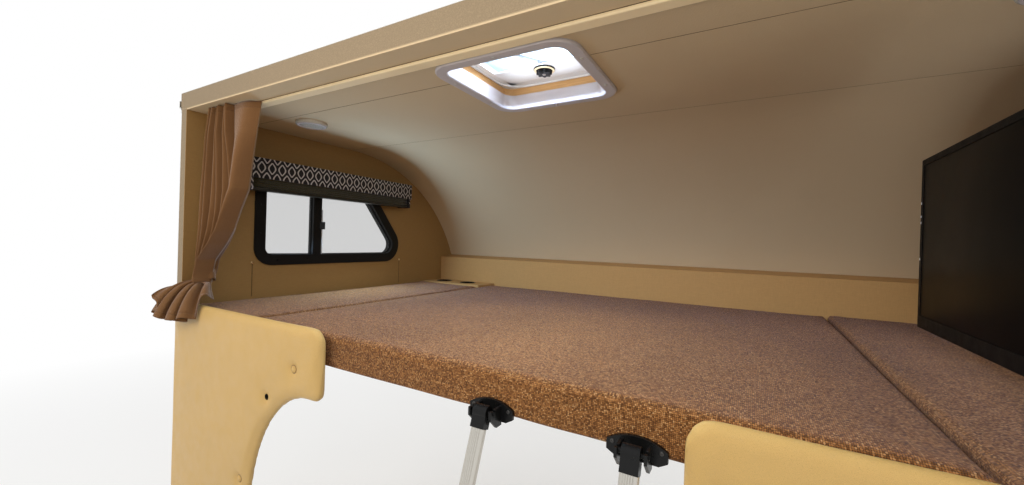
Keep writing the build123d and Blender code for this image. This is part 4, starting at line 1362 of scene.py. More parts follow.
@dataclass
class Cheeks(Assembly):
    """Padded cheeks with self-covered buttons that pull the vinyl in."""

    padding: Padding = Padding(voxel=0.0105, pressure=2.5, cap=0.0035)
    rear: float = -1.0263
    # the plane of the joint with the walls, and the edge of what lies against it
    joint: float = -1.0003
    joint_edge: float = -1.0030
    buttons: tuple[Pair, ...] = ((0.513, 0.0363), (0.769, -0.3377), (0.795, -0.78), (1.05, -0.98))
    button: float = 0.0104
    pull: float = 0.0105
    # profile of the dark ring round each button, painted shade of its crease
    pucker: tuple[Pair, ...] = ((0.0090, 0.0), (0.0126, 0.0), (0.0120, 0.0010), (0.0090, 0.0014))
    hole: Pair = (0.640, -0.0657)
    eyelet: Head = Head(0.0096, 0.0022, 0.0018, 20)

    def build(self) -> None:
        """Builds both cheeks with their buttons."""
        for side in Side:
            self.fittings(side, self.cheek(side))

    def cheek(self, side: Side) -> bpy.types.Object:
        """Builds one cheek inside its solid, and returns it.

        Args:
            side: The side of the vehicle.

        Returns:
            The swollen cheek.
        """
        node = f"cheek_{side.word}"
        mesh = bmesh.new()
        mesh.from_mesh(self.shop.nodes[node].data)
        bmesh.ops.remove_doubles(mesh, verts=mesh.verts, dist=1e-5)
        obj = self.shop.object(f"{node}_cover", mesh, "vinyl", 60)
        self.padding.swell(obj, lambda place: place.y > self.rear + 0.018)
        for vertex in obj.data.vertices:
            vertex.co = self.lie(vertex.co, side)
        smooth(obj.data)
        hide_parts(node)
        self.shop.ride(obj, "vinyl")
        return obj

    def lie(self, place: Vector, side: Side) -> Vector:
        """A point of the rear face, pulled in at the buttons and slightly uneven elsewhere.

        Args:
            place: A point of the swollen cheek.
            side: The side of the vehicle.

        Returns:
            Where it lies.
        """
        front = clamp((self.rear + 0.012 - place.y) / 0.010)
        if place.y > self.joint_edge:
            place.y = min(place.y, self.joint)
        if not front:
            return place
        deep = 0.0
        for x, z in (*self.buttons, self.hole):
            away = math.hypot(place.x - side.x(x), place.z - z)
            pit, dish = math.exp(-((away / 0.0155) ** 2)), math.exp(-((away / 0.042) ** 2))
            deep = max(deep, 0.74 * pit + 0.34 * dish)
        slow = noise.noise(Vector((place.x * 5.0, 0.0, place.z * 5.0)))
        return place + Vector((0.0, front * (self.pull * min(1.0, deep) + 0.0012 * slow), 0.0))

    @staticmethod
    def face(obj: bpy.types.Object, x: float, z: float, reach: float) -> float:
        """The nearest that the cheek comes to the room within reach of a point."""
        return min(v.co.y for v in obj.data.vertices if math.hypot(v.co.x - x, v.co.z - z) < reach)

    def fittings(self, side: Side, obj: bpy.types.Object) -> None:
        """Covered buttons in the pulled vinyl, each in a dark ring of painted shade for its crease, and the
        hole that a missing one left, a dark disc of painted shade.

        Args:
            side: The side of the vehicle.
            obj: The swollen cheek that they are fixed to.
        """
        rearward = (0, -1, 0)
        spots = [(side.x(x), z) for x, z in self.buttons]
        feet = [(x, self.face(obj, x, z, 1.15 * self.button), z) for x, z in spots]
        mesh = bmesh.new()
        for x, y, z in feet:
            place = (x, y + 0.0012, z)
            made = bmesh.ops.create_uvsphere(
                mesh, u_segments=18, v_segments=10, radius=self.button, matrix=facing(place, rearward)
            )["verts"]
            bmesh.ops.scale(mesh, vec=(1, 0.5, 1), verts=made, space=Matrix.Translation(-Vector(place)))
        self.shop.piece(f"cheek_buttons_{side.word}", mesh, "vinyl", "vinyl", angle=60)
        mesh = bmesh.new()
        for x, y, z in feet:
            # painted shade: a dark ring in each button's crease
            lathe(mesh, self.pucker, facing((x, y + 0.0008, z), rearward), 24)
        self.shop.piece(f"cheek_puckers_{side.word}", mesh, "vinyl_crease", "vinyl", angle=60)
        x, z = side.x(self.hole[0]), self.hole[1]
        spots = [((x, self.face(obj, x, z, 0.0105) + 0.0016, z), rearward)]
        # the missing button's hole: a near-black disc of painted shade
        self.shop.heads(f"cheek_eyelet_{side.word}", spots, self.eyelet, "dark_hole", "black_plastic")


@dataclass
class Curtain(Assembly):
    """Gathered curtain: a flat leading panel and a body of pleats, tied back, with a fanned tail."""

    body_cut: float = 0.50
    panel_cut: float = 0.125
    pleats: int = 6
    rows: int = 84
    tail_rows: int = 40
    columns: int = 150
    # height, then x of the rear edge, the panel's seam and the front edge, y of the three
    levels: tuple[tuple[float, ...], ...] = (
        (0.8320, -1.121, -0.984, -0.867, -0.9600, -0.9600, -0.9345),
        (0.7400, -1.150, -0.985, -0.880, -0.9600, -0.9580, -0.9380),
        (0.6500, -1.175, -0.965, -0.891, -0.9570, -0.9560, -0.9420),
        (0.5423, -1.198, -0.955, -0.905, -0.9550, -0.9530, -0.9450),
        (0.4700, -1.199, -0.970, -0.950, -0.9560, -0.9510, -0.9470),
        (0.4040, -1.199, -1.005, -0.987, -0.9560, -0.9510, -0.9480),
        (0.3573, -1.199, -1.045, -1.029, -0.9570, -0.9520, -0.9500),
        (0.3000, -1.198, -1.110, -1.095, -0.9580, -0.9550, -0.9530),
        (0.2600, -1.190, -1.122, -1.108, -0.9590, -0.9560, -0.9540),
        (0.2400, -1.188, -1.126, -1.110, -0.9620, -0.9600, -0.9570),
        (0.2230, -1.190, -1.122, -1.108, -0.9640, -0.9620, -0.9580),
    )
    # the tail's hem, pleat by pleat from the rear wall to the bed: x, y, z and how far it folds
    hem: tuple[tuple[float, ...], ...] = (
        (0.0, -1.190, -1.094, 0.178, 0.6),
        (1.0, -1.199, -1.088, 0.112, 1.0),
        (2.0, -1.150, -1.076, 0.098, 1.0),
        (3.0, -1.085, -1.062, 0.100, 1.0),
        (4.0, -1.022, -1.056, 0.118, 0.9),
        (4.5, -1.028, -1.016, 0.182, 0.5),
        (5.0, -1.066, -0.962, 0.166, 0.5),
    )
    fold: Pair = (0.0050, 0.0200)
    tie: Pair = (0.2400, 0.034)
    hook: Head = Head(0.012, 0.004)
    drop: float = 0.82

    def build(self) -> None:
        """Builds the cloth and its tie."""
        top, low = self.levels[0][0], self.levels[-1][0]
        lines = [self.line(top + (low - top) * i / (self.rows - 1)) for i in range(self.rows)]
        tied = lines[-1]
        lines += [self.tail_line((i + 1) / self.tail_rows, tied) for i in range(self.tail_rows)]
        flat = self.body_cut + self.panel_cut
        steps = len(lines) - 1
        middle = [line[self.columns // 2] for line in lines]
        lengths = [path_length(middle[: i + 1]) for i in range(len(lines))]
        mesh = bmesh.new()
        grid = bmesh.ops.create_grid(mesh, x_segments=self.columns, y_segments=steps, size=0.5)["verts"]
        spot = {}
        for vertex in grid:
            column = round((vertex.co.x + 0.5) * self.columns)
            row = round((0.5 - vertex.co.y) * steps)
            spot[vertex] = (column / self.columns * flat, min(lengths[row], lengths[-1] - lengths[row]))
            vertex.co = lines[row][column]
        lay_out(mesh, spot.get)
        area = sum(face.calc_area() for face in mesh.faces)
        log.info("curtain: cloth %.3f by %.3f m, area %.4f m2", flat, lengths[-1], area)
        bmesh.ops.recalc_face_normals(mesh, faces=mesh.faces)
        obj = self.shop.sheet("curtain_cloth", mesh, "curtain_cloth", 0.0010)
        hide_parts("curtain")
        self.shop.ride(obj, "curtain_cloth")
        self.tieback()

    def tail_line(self, share: float, tied: list[Vector]) -> list[Vector]:
        """The cloth's path across the fanned tail.

        Args:
            share: How far down the tail, from the tie at 0 to the hem at 1.
            tied: The path at the tie.

        Returns:
            Points across the tail.
        """
        points = []
        step = 0.01
        deep = self.fold[0] + (self.fold[1] - self.fold[0]) * share ** 0.8
        ease = eased(min(1.0, share * 2.5))
        for i in range(self.columns + 1):
            pleat = 5.0 * i / self.columns
            here, weight = self.fan(pleat, share)
            along = self.fan(min(5.0, pleat + step), share)[0] - self.fan(max(0.0, pleat - step), share)[0]
            down = self.fan(pleat, min(1.0, share + step))[0] - self.fan(pleat, max(0.0, share - step))[0]
            out = along.cross(down).normalized()
            if out.dot(Vector((0.5, -0.8, 0.4))) < 0:
                out = -out
            turn = 2 * math.pi * (pleat - 0.5)
            swell = 1.0 + 0.18 * math.sin(2.1 * pleat + 0.7)
            place = here + out * deep * weight * swell * math.cos(turn)
            place += along.normalized() * deep * weight * 0.30 * math.sin(2 * turn)
            points.append(tied[i].lerp(place, ease))
        return points

    def fan(self, pleat: float, share: float) -> tuple[Vector, float]:
        """The middle surface of the tail, without its folds, and how far the cloth folds there.

        Args:
            pleat: Which pleat, from 0 at the rear wall to 5.
            share: How far down the tail, to 1.

        Returns:
            The place and the share of the fold.
        """
        hem = self.hem[-1]
        for a, b in zip(self.hem, self.hem[1:]):
            if a[0] <= pleat <= b[0]:
                part = (pleat - a[0]) / (b[0] - a[0])
                part = eased(part) * 0.5 + part * 0.5
                hem = tuple(p + (q - p) * part for p, q in zip(a, b))
                break
        end = Vector(hem[1:4])
        start = Vector((-1.190, -0.964, 0.223)).lerp(Vector((-1.108, -0.958, 0.223)), pleat / 5)
        middle = Vector((0.45 * start.x + 0.55 * end.x, min(-1.018, end.y + 0.035), 0.222))
        if pleat > 4.0:
            middle.y += (pleat - 4.0) * 0.045
        place = start * (1 - share) ** 2 + middle * 2 * share * (1 - share) + end * share ** 2
        return place, hem[4]

    def line(self, height: float) -> list[Vector]:
        """The cloth's path at one height, from its rear edge to its front edge.

        Args:
            height: The height over the origin.

        Returns:
            Points across the cloth.
        """
        rear, seam, front, y0, y1, y2 = self.at(height)
        split = round(self.columns * self.body_cut / (self.body_cut + self.panel_cut))
        start, middle, end = (Vector((x, y, height)) for x, y in ((rear, y0), (seam, y1), (front, y2)))
        body = self.wave(start, middle, self.body_cut, self.pleats, split)
        return body + self.wave(middle, end, self.panel_cut, 0.5, self.columns - split)[1:]

    def at(self, height: float) -> tuple[float, ...]:
        """The curtain's places at one height, eased between the levels."""
        for upper, lower in zip(self.levels, self.levels[1:]):
            if height >= lower[0] - 1e-6:
                share = (upper[0] - height) / (upper[0] - lower[0])
                return tuple(a + (b - a) * share for a, b in zip(upper[1:], lower[1:]))
        return self.levels[-1][1:]

    @staticmethod
    def wave(start: Vector, end: Vector, cut: float, pleats: float, steps: int) -> list[Vector]:
        """Folds a length of cloth evenly between two points.

        Args:
            start: First point.
            end: Last point.
            cut: The cloth's length between them.
            pleats: Number of whole waves, or 0.5 for one hump.
            steps: Number of steps between them.

        Returns:
            Points along the cloth.
        """
        way = end - start
        out = Vector((way.y, -way.x, 0.0)).normalized()

        def path(deep: float) -> list[Vector]:
            """The path with folds of one depth.

            Args:
                deep: Depth of the folds.

            Returns:
                Its points.
            """
            points = []
            for i in range(steps + 1):
                share = i / steps
                uneven = 1 + 0.22 * math.sin(9.0 * share * pleats + start.z * 5)
                fold = math.sin(2 * math.pi * pleats * share) * uneven
                points.append(start + way * share + out * deep * fold)
            return points

        low, high = 0.0, 0.08
        for _ in range(24):
            deep = (low + high) / 2
            low, high = (deep, high) if path_length(path(deep)) < cut else (low, deep)
        return path(low)

    def tieback(self) -> None:
        """Band of the same cloth round the gathered curtain, held to a hook on the wall."""
        height, wide = self.tie
        rear, _, front, y0, _, y2 = self.at(height)
        middle = Vector(((rear + front) / 2, (y0 + y2) / 2, height))
        mesh = bmesh.new()
        made = bmesh.ops.create_cone(mesh, cap_ends=False, segments=40, radius1=0.5, radius2=0.5, depth=wide)
        turn = Matrix.Rotation(math.radians(-14), 3, "Y")
        bmesh.ops.scale(mesh, vec=(front - rear + 0.012, 0.046, 1.0), verts=made["verts"])
        bmesh.ops.rotate(mesh, cent=(0, 0, 0), matrix=turn, verts=made["verts"])
        bmesh.ops.translate(mesh, vec=middle, verts=made["verts"])
        bmesh.ops.solidify(mesh, geom=list(mesh.faces), thickness=0.0022)
        lay_out(mesh, lambda v: (math.atan2(v.co.y - middle.y, v.co.x - middle.x) * 0.03, v.co.z))
        self.shop.piece("curtain_tieback", mesh, "curtain_cloth", "curtain_cloth", angle=60)
        mesh = bmesh.new()
        foot, reach, way = Vector((-1.2298, -0.955, height)), 0.0298, (1, 0, 0)
        where = facing(foot + Vector((reach / 2, 0, 0)), way)
        bmesh.ops.create_cone(
            mesh, cap_ends=True, segments=10, radius1=0.004, radius2=0.004, depth=reach, matrix=where
        )
        self.hook.add(mesh, foot, way)
        self.shop.piece("tieback_hook", mesh, "screw", "hinge_steel")


@dataclass
class Shades(Assembly):
    """Pleated window shades, drawn up under the valances on their bottom rails."""

    ends: Pair = (-0.8055, 0.0255)
    folds: int = 12
    top: float = 0.683
    low: float = 0.5790
    near: float = 1.1510
    far: float = 1.1850
    widths: int = 26

    def build(self) -> None:
        """Builds both shades."""
        for side in Side:
            self.pleats(side)
            self.rails(side)

    def pleats(self, side: Side) -> None:
        """The cloth: a zigzag of soft folds, each as deep as the last.

        Args:
            side: The side of the vehicle.
        """
        steps = self.folds * 8
        points = []
        for i in range(steps + 1):
            share = i / steps
            wave = 0.5 - 0.5 * math.cos(2 * math.pi * self.folds * share)
            depth = self.near + (self.far - self.near) * wave
            points.append(Vector((side.x(depth), self.ends[0], self.top + (self.low - self.top) * share)))
        long, wide = path_length(points), self.ends[1] - self.ends[0]
        mesh = bmesh.new()
        line = [mesh.verts.new(point) for point in points]
        edges = [mesh.edges.new(pair) for pair in zip(line, line[1:])]
        for _ in range(self.widths):
            made = bmesh.ops.extrude_edge_only(mesh, edges=edges)["geom"]
            moved = [part for part in made if isinstance(part, bmesh.types.BMVert)]
            bmesh.ops.translate(mesh, vec=(0, wide / self.widths, 0), verts=moved)
            edges = [part for part in made if isinstance(part, bmesh.types.BMEdge) and part.is_boundary
                     and abs(part.verts[0].co.y - part.verts[1].co.y) < 1e-6]
        for vertex in mesh.verts:
            sag = 0.5 + 0.5 * noise.noise(Vector((vertex.co.y * 3.0, vertex.co.z * 30.0, side.value)))
            vertex.co.x -= side.value * 0.0016 * sag
        lay_out(mesh, lambda v: (v.co.y, (self.top - v.co.z) * long / (self.top - self.low)))
        obj = self.shop.sheet(f"shade_cloth_{side.word}", mesh, "shade_cloth", 0.0006)
        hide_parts(f"shade_{side.word}")
        self.shop.ride(obj, "shade_cloth")

    def rails(self, side: Side) -> None:
        """Head rail above the cloth and bottom rail below it.

        Args:
            side: The side of the vehicle.
        """
        near, far = side.span(self.near - 0.001, self.far + 0.003)
        y0, y1 = self.ends[0] + 0.001, self.ends[1] - 0.001
        heights = ((self.top - 0.002, self.top + 0.0018), (self.low - 0.011, self.low + 0.001))
        boxes = [((near, y0, z0), (far, y1, z1)) for z0, z1 in heights]
        self.shop.blocks(f"shade_rails_{side.word}", boxes, 0.0015, "dark_rail", "black_plastic")


@dataclass
class Valances(Assembly):
    """Cloth-covered cornices over the windows."""

    fold: float = 0.0022

    def build(self) -> None:
        """Builds both cornices with the cloth's folded edges."""
        for side in Side:
            node = f"valance_{side.word}"
            mesh = merged_copy(self.shop.nodes[node])
            sharp = [e for e in mesh.edges if len(e.link_faces) == 2 and e.calc_face_angle() > 0.5]
            bevel(mesh, sharp, self.fold, 3)
            obj = self.shop.piece(f"{node}_cloth", mesh, "valance_cloth", "valance_cloth", angle=60)
            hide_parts(node)


# Hard parts


@dataclass
class Windows(Assembly):
    """Side windows: gaskets round the panes, the sliding pane's edge strip, screws and drain caps."""

    inner: float = 1.2240
    outer: float = 1.2760
    bead_wide: float = 0.0045
    bead_proud: float = 0.0035
    # the strip on the sliding pane's edge, between its distances from the centre line, in y and in z
    strip: tuple[Pair, Pair, Pair] = ((1.2265, 1.2390), (-0.4515, -0.4465), (0.309, 0.518))
    screws: tuple[Pair, ...] = (
        (-0.66, 0.287), (-0.52, 0.287), (-0.38, 0.287), (-0.24, 0.287), (-0.10, 0.287),
        (-0.66, 0.6295), (-0.50, 0.6295), (-0.36, 0.6295), (-0.735, 0.40), (-0.735, 0.52),
    )
    screw: Head = Head(0.0045, 0.0016, 0.0009)
    drains: Pair = (-0.62, -0.14)

    def build(self) -> None:
        """Builds both windows' fittings."""
        depths, (y0, y1), (z0, z1) = self.strip
        for side in Side:
            word = side.word
            self.shop.dress(f"window_frame_{word}", f"window_glass_{word}", f"window_latch_{word}")
            self.gasket(side)
            near, far = side.span(*depths)
            boxes = [((near, y0, z0), (far, y1, z1))]
            self.shop.blocks(f"pane_edge_{word}", boxes, 0.0008, "grey_strip", "white_plastic")
            spots = [((side.x(self.inner + 0.0003), y, z), side.inward) for y, z in self.screws]
            self.shop.heads(f"window_screws_{word}", spots, self.screw, "black_plastic", "black_plastic")
            near, far = side.span(self.outer - 0.001, self.outer + 0.004)
            boxes = [((near, y - 0.016, 0.292), (far, y + 0.016, 0.301)) for y in self.drains]
            self.shop.blocks(f"drain_caps_{word}", boxes, 0.0015, "black_plastic", "black_plastic")

    def gasket(self, side: Side) -> None:
        """Rubber bead round each pane, on the inside, from the pane's own outline.

        Args:
            side: The side of the vehicle.
        """
        mesh = merged_copy(self.shop.nodes[f"window_glass_{side.word}"])
        inward = Vector(side.inward)
        keep = [face for face in mesh.faces if face.normal.dot(inward) > 0.9]
        bmesh.ops.delete(mesh, geom=[face for face in mesh.faces if face not in keep], context="FACES")
        rim = bmesh.ops.inset_individual(mesh, faces=keep, thickness=self.bead_wide, depth=0.0)["faces"]
        bmesh.ops.delete(mesh, geom=[face for face in mesh.faces if face not in rim], context="FACES")
        made = bmesh.ops.extrude_face_region(mesh, geom=list(mesh.faces))["geom"]
        moved = [part for part in made if isinstance(part, bmesh.types.BMVert)]
        bmesh.ops.translate(mesh, vec=inward * self.bead_proud, verts=moved)
        self.shop.piece(f"pane_gasket_{side.word}", mesh, "gasket_rubber", "foot_rubber")


@dataclass
class Vent(Assembly):
    """Roof vent: insect screen, screws, the knob's ring and the sealant round its flange."""

    middle: float = -0.6930
    screen: Pair = (0.8993, 0.9033)
    frame_half: float = 0.1697
    open_half: float = 0.1477
    corner: float = 0.0697
    plate: float = 0.1485
    wires_half: float = 0.1530
    wire: float = 0.0004
    mesh_pitch: float = 0.0036
    knob: Pair = (0.004, 0.080)
    knob_ring: tuple[Pair, ...] = (
        (0.0240, 0.0), (0.0300, 0.0), (0.0300, 0.0014), (0.0285, 0.0022), (0.0240, 0.0022),
    )
    knob_screw: Head = Head(0.0052, 0.0016, 0.0010)
    garnish_screws: tuple[Pair, ...] = (
        (-0.184, -0.09), (-0.184, 0.09), (0.184, -0.09), (0.184, 0.09), (0.0, -0.184), (0.0, 0.184),
    )
    garnish_screw: Head = Head(0.0045, 0.0018, 0.0010)
    flange_half: float = 0.2165
    flange_screw: Head = Head(0.0050, 0.0024, 0.0010, 10)
    sealant_half: float = 0.2345

    def build(self) -> None:
        """Builds the vent's details and dresses its solids."""
        self.shop.dress("vent_framing", "vent_base", "vent_crank")
        # the garnish is white plastic greyed as painted shade
        self.shop.dress("vent_garnish", finish="vent_trim")
        self.shop.dress("vent_lid", finish="clear_dome")
        self.frame()
        self.wires()
        self.screws()
        self.knob_trim()
        self.sealant()

    def square(self, half: float, low: float, high: float) -> tuple[Triple, Triple]:
        """Corners of a square slab about the vent's middle."""
        return (-half, self.middle - half, low), (half, self.middle + half, high)

    def frame(self) -> None:
        """The screen's frame: a rounded square ring with the plate that carries the knob."""
        mesh = bmesh.new()
        low, high = self.screen
        wall = self.frame_half - self.open_half
        flat_ring(mesh, *self.square(self.frame_half, low, high), self.corner, 9, wall)
        y0 = self.middle + self.knob[1] - 0.031
        block(mesh, (-self.plate, y0, low), (self.plate, self.middle + self.plate, high), 0.001)
        obj = self.shop.piece("vent_screen_frame", mesh, "white_plastic", "white_plastic")
        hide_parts("vent_screen")

    def wires(self) -> None:
        """Woven wires of the insect screen."""
        half, z, radius = self.wires_half, sum(self.screen) / 2, self.wire / 2
        count = int(2 * half / self.mesh_pitch)
        front = self.middle + self.knob[1] - 0.028
        boxes = []
        for i in range(count + 1):
            x = -half + i * 2 * half / count
            y = self.middle + x
            boxes.append(((x - radius, self.middle - half, z), (x + radius, front, z + self.wire)))
            if y < front:
                boxes.append(((-half, y - radius, z - self.wire), (half, y + radius, z)))
        self.shop.blocks("vent_screen_wires", boxes, 0.0, "screen_mesh", "screen_mesh")

    def screws(self) -> None:
        """Screws through the inner trim and round the roof flange."""
        spots = [((x, self.middle + y, 0.8274), (0, 0, -1)) for x, y in self.garnish_screws]
        self.shop.heads("garnish_screws", spots, self.garnish_screw)
        half = self.flange_half
        spots = []
        for i in range(5):
            at = -0.192 + 0.096 * i
            for x, y in ((at, -half), (at, half), (-half, at), (half, at)):
                spots.append(((x, self.middle + y, 0.9022), (0, 0, 1)))
        self.shop.heads("flange_screws", spots, self.flange_screw)

    def knob_trim(self) -> None:
        """Pale ring round the knob, and the knob's screw."""
        x, y, down = self.knob[0], self.middle + self.knob[1], (0, 0, -1)
        mesh = bmesh.new()
        lathe(mesh, self.knob_ring, facing((x, y, 0.8950), down), 40)
        self.shop.piece("knob_ring", mesh, "trim_cream", "white_plastic")
        self.shop.heads("knob_screw", [((x, y, 0.8832), down)], self.knob_screw)

    def sealant(self) -> None:
        """Bead of sealant round the roof flange."""
        mesh = bmesh.new()
        flat_ring(mesh, *self.square(self.sealant_half, 0.8990, 0.9030), 0.044, 8, 0.010)
        bevel(mesh, [e for e in mesh.edges if min(v.co.z for v in e.verts) > 0.9025], 0.0015)
        self.shop.piece("roof_sealant", mesh, "sealant", "roof_skin")


@dataclass
class Ladder(Assembly):
    """Hook-on ladder: rivets through its treads, its brackets' screws."""

    pin: Pair = (-1.0260, 0.0673)
    rails: Pair = (0.0985, 0.3835)
    lean: float = -20.0
    long: float = 1.44037
    treads: int = 5
    tread_pitch: float = 0.255
    rivet: Head = Head(0.0042, 0.0026)
    bracket_screw: Head = Head(0.0042, 0.0016, 0.0010)

    def build(self) -> None:
        """Dresses the ladder and adds its fasteners."""
        self.shop.dress("ladder_rails", "ladder_rungs", "ladder_caps", "ladder_feet", "ladder_brackets")
        turn = Matrix.Rotation(math.radians(self.lean), 4, "X")
        spots = []
        for i in range(self.treads):
            drop = self.long - self.tread_pitch * (self.treads - i) + 0.020
            for x, way in zip(self.rails, (-1, 1)):
                where = Matrix.Translation((x, *self.pin)) @ turn
                for y in (-0.0055, 0.0055):
                    spots.append((where @ Vector((way * 0.0137, y, -drop)), (way, 0, 0)))
        self.shop.heads("tread_rivets", spots, self.rivet, body="ladder")
        spots = [((x + way * 0.0400, -0.9968, 0.0650), (0, -1, 0)) for x in self.rails for way in (-1, 1)]
        self.shop.heads("bracket_screws", spots, self.bracket_screw, "dark_screw", body="bunk")


@dataclass
class Television(Assembly):
    """Television on its arm: screen glass, marks on its bezel, slots and screws behind."""

    front: float = 0.9150
    back: float = 0.9610
    plate: float = 0.9650
    middle: Pair = (-0.5970, 0.4223)
    glass: tuple[Pair, Pair] = ((-0.9470, -0.2470), (0.2383, 0.6223))
    marks: tuple[float, ...] = (0.526, 0.492, 0.476, 0.382)
    screw: Head = Head(0.006, 0.003, 0.0018)

    def build(self) -> None:
        """Builds the details and dresses the solids."""
        self.shop.dress("tv_panel", "tv_bracket", "tv_arm")
        y, z = self.middle
        (y0, y1), (z0, z1) = self.glass
        gap = 0.0004
        boxes = [((self.front + 0.0008, y0 + gap, z0 + gap), (self.front + 0.0022, y1 - gap, z1 - gap))]
        self.part("tv_screen", boxes, 0.0003, "tv_glass", "tv_gloss")
        slots = [y - 0.21 + 0.02 * i for i in range(22)]
        boxes = [((self.back - 0.0006, at, 0.560), (self.back + 0.0008, at + 0.006, 0.592)) for at in slots]
        # the slots are near black: painted shade inside them
        self.part("tv_vents", boxes, 0.0005, "dark_hole", "black_plastic")
        far, half = y + 0.3615, (0.0018, 0.0030)
        low, high = (self.front - 0.0004, far - half[0]), (self.front + 0.0006, far + half[0])
        boxes = [((*low, at - half[1]), (*high, at + half[1])) for at in self.marks]
        self.part("tv_marks", boxes, 0.0004, "white_plastic", "white_plastic")
        spots = [((self.plate, y + a, z + b), (1, 0, 0)) for a in (-0.10, 0.10) for b in (-0.09, 0.09)]
        self.shop.heads("tv_screws", spots, self.screw, body="television")

    def part(self, name: str, boxes: list, round_: float, finish: str, slot: str) -> None:
        """Makes one piece of blocks that rides on the television."""
        self.shop.blocks(name, boxes, round_, finish, slot, "television")


@dataclass
class Shell(Assembly):
    """Walls, roof, nose and ceiling, with the mouldings, gaskets, lamp rings and screws on them."""

    # wallboard seams, and the strips between the ceiling panels and along the moulding's rear edge, the last
    # its joint and a painted shadow line: x from, x to, y and z
    seams: tuple[Pair, ...] = ((-0.760, 0.277), (0.054, 0.272))
    seam_half: float = 0.0013
    strips: tuple[tuple[float, ...], ...] = (
        (-1.225, -0.202, -0.7740, 0.8356),
        (0.202, 1.225, -0.7740, 0.8356),
        (-1.225, 1.225, -0.2895, 0.8356),
        # the moulding's rear edge: its joint and a painted shadow line
        (-1.225, 1.225, -0.9326, 0.8346),
    )
    seam_screw: Head = Head(0.0062, 0.0024, 0.0009)
    # the nose's curve: its centre in y and z, the radius of its joint with the walls, and of the lamps' bases
    centre: Pair = (-0.288, -0.0647)
    joint: float = 0.9040
    marker_reach: float = 0.9641
    marker_turn: float = 62.0
    markers: tuple[float, ...] = (-1.100, -0.200, 0.0, 0.200, 1.100)
    outside: float = 1.2750
    lamp: tuple[float, ...] = (0.959, -0.695, 0.8353, 0.057)
    roof_screw: Head = Head(0.0050, 0.0024, 0.0010, 10)

    def build(self) -> None:
        """Dresses the shell's solids and adds what is fixed to them."""
        self.shop.dress(
            "floor", "opening_frame", "nose_cap", "nose_liner", "ceiling_panels", "ceiling_trim",
            "ceiling_lights", "upstand", "cup_ledge", "cup_holders", "bunk_hinge_fixed",
            "bunk_hinge_moving", "marker_lights", "drip_rails", "roof", "side_wall_left",
            "side_wall_right",
        )
        self.wall_seams()
        self.ceiling_seams()
        self.lamp_rings()
        self.marker_bases()
        self.edge_mouldings()
        self.roof_bar()

    def wall_seams(self) -> None:
        """Wallboard seams under the windows, each with a screw at its head."""
        for side in Side:
            near, far = side.span(1.2296, 1.2304)
            half = self.seam_half
            boxes = [((near, y - half, 0.1400), (far, y + half, z)) for y, z in self.seams]
            self.shop.blocks(f"wall_seams_{side.word}", boxes, 0.0, "dark_seam", "wall_laminate")
            spots = [((side.x(1.2300), y, z), side.inward) for y, z in self.seams]
            self.shop.heads(f"wall_screws_{side.word}", spots, self.seam_screw, "brass_screw")

    def ceiling_seams(self) -> None:
        """Dark jointing strips between the ceiling panels, and along the moulding's rear edge its joint and a
        painted shadow line.
        """
        half = self.seam_half
        boxes = [((x0, y - half, z), (x1, y + half, z + 0.0012)) for x0, x1, y, z in self.strips]
        self.shop.blocks("ceiling_seams", boxes, 0.0, "dark_seam", "headliner")

    def lamp_rings(self) -> None:
        """Ring round the lens of each ceiling lamp."""
        x, y, z, radius = self.lamp
        steps = ((0.013, 0.0), (0.005, 0.0), (0.006, 0.0020), (0.012, 0.0026))
        profile = [(radius - inside, height) for inside, height in steps]
        mesh = bmesh.new()
        for side in Side:
            lathe(mesh, profile, facing((side.x(x), y, z - 0.0119), (0, 0, -1)), 48)
        # the rings are white plastic greyed as painted shade
        self.shop.piece("lamp_rings", mesh, "vent_trim", "white_plastic")

    def marker_bases(self) -> None:
        """Rubber base under each marker lamp."""
        turn = math.radians(self.marker_turn)
        y = self.centre[0] + self.marker_reach * math.cos(turn)
        z = self.centre[1] + self.marker_reach * math.sin(turn)
        mesh = bmesh.new()
        for x in self.markers:
            slab(mesh, (x - 0.042, -0.018, 0.0), (x + 0.042, 0.018, 0.004), 0.009, 4)
        tilt = Matrix.Translation((0, y, z)) @ Matrix.Rotation(turn - math.pi / 2, 4, "X")
        bmesh.ops.transform(mesh, matrix=tilt, verts=mesh.verts)
        self.shop.piece("marker_bases", mesh, "gasket_rubber", "foot_rubber")

    def edge_mouldings(self) -> None:
        """Outer corner moulding along the joint of each wall with the roof and the nose."""
        y, z = self.centre
        low, high = z + (self.joint - 0.011), z + (self.joint + 0.011)
        for side in Side:
            mesh = bmesh.new()
            x0, x1 = side.x(self.outside - 0.003), side.x(self.outside + 0.003)
            section = ((x0, low), (x1, low), (x1, high), (x0, high))
            start = [mesh.verts.new((x, y, height)) for x, height in section]
            face = mesh.faces.new(start)
            bmesh.ops.spin(
                mesh, geom=[face, *face.edges, *start], axis=(-1, 0, 0), cent=(0, y, z), dvec=(0, 0, 0),
                angle=math.radians(90.0 - 3.4), steps=40, use_merge=False, use_duplicate=False,
            )
            ends = [f for f in mesh.faces if all(abs(v.co.y - y) < 1e-5 for v in f.verts)]
            made = bmesh.ops.extrude_discrete_faces(mesh, faces=ends[:1])["faces"]
            bmesh.ops.translate(mesh, vec=(0, -1.0 - y, 0), verts=made[0].verts)
            bmesh.ops.remove_doubles(mesh, verts=mesh.verts, dist=1e-6)
            self.shop.piece(f"edge_moulding_{side.word}", mesh, "white_plastic", "white_plastic")

    def roof_bar(self) -> None:
        """Flat bar with screws over the joint between the roof and the nose."""
        boxes = [((-1.262, -0.306, 0.8985), (1.262, -0.274, 0.9015))]
        self.shop.blocks("roof_bar", boxes, 0.0010, "ladder_aluminium", "ladder_aluminium")
        spots = [((-1.20 + 0.15 * i, -0.290, 0.9013), (0, 0, 1)) for i in range(17)]
        self.shop.heads("roof_bar_screws", spots, self.roof_screw)


# Stage


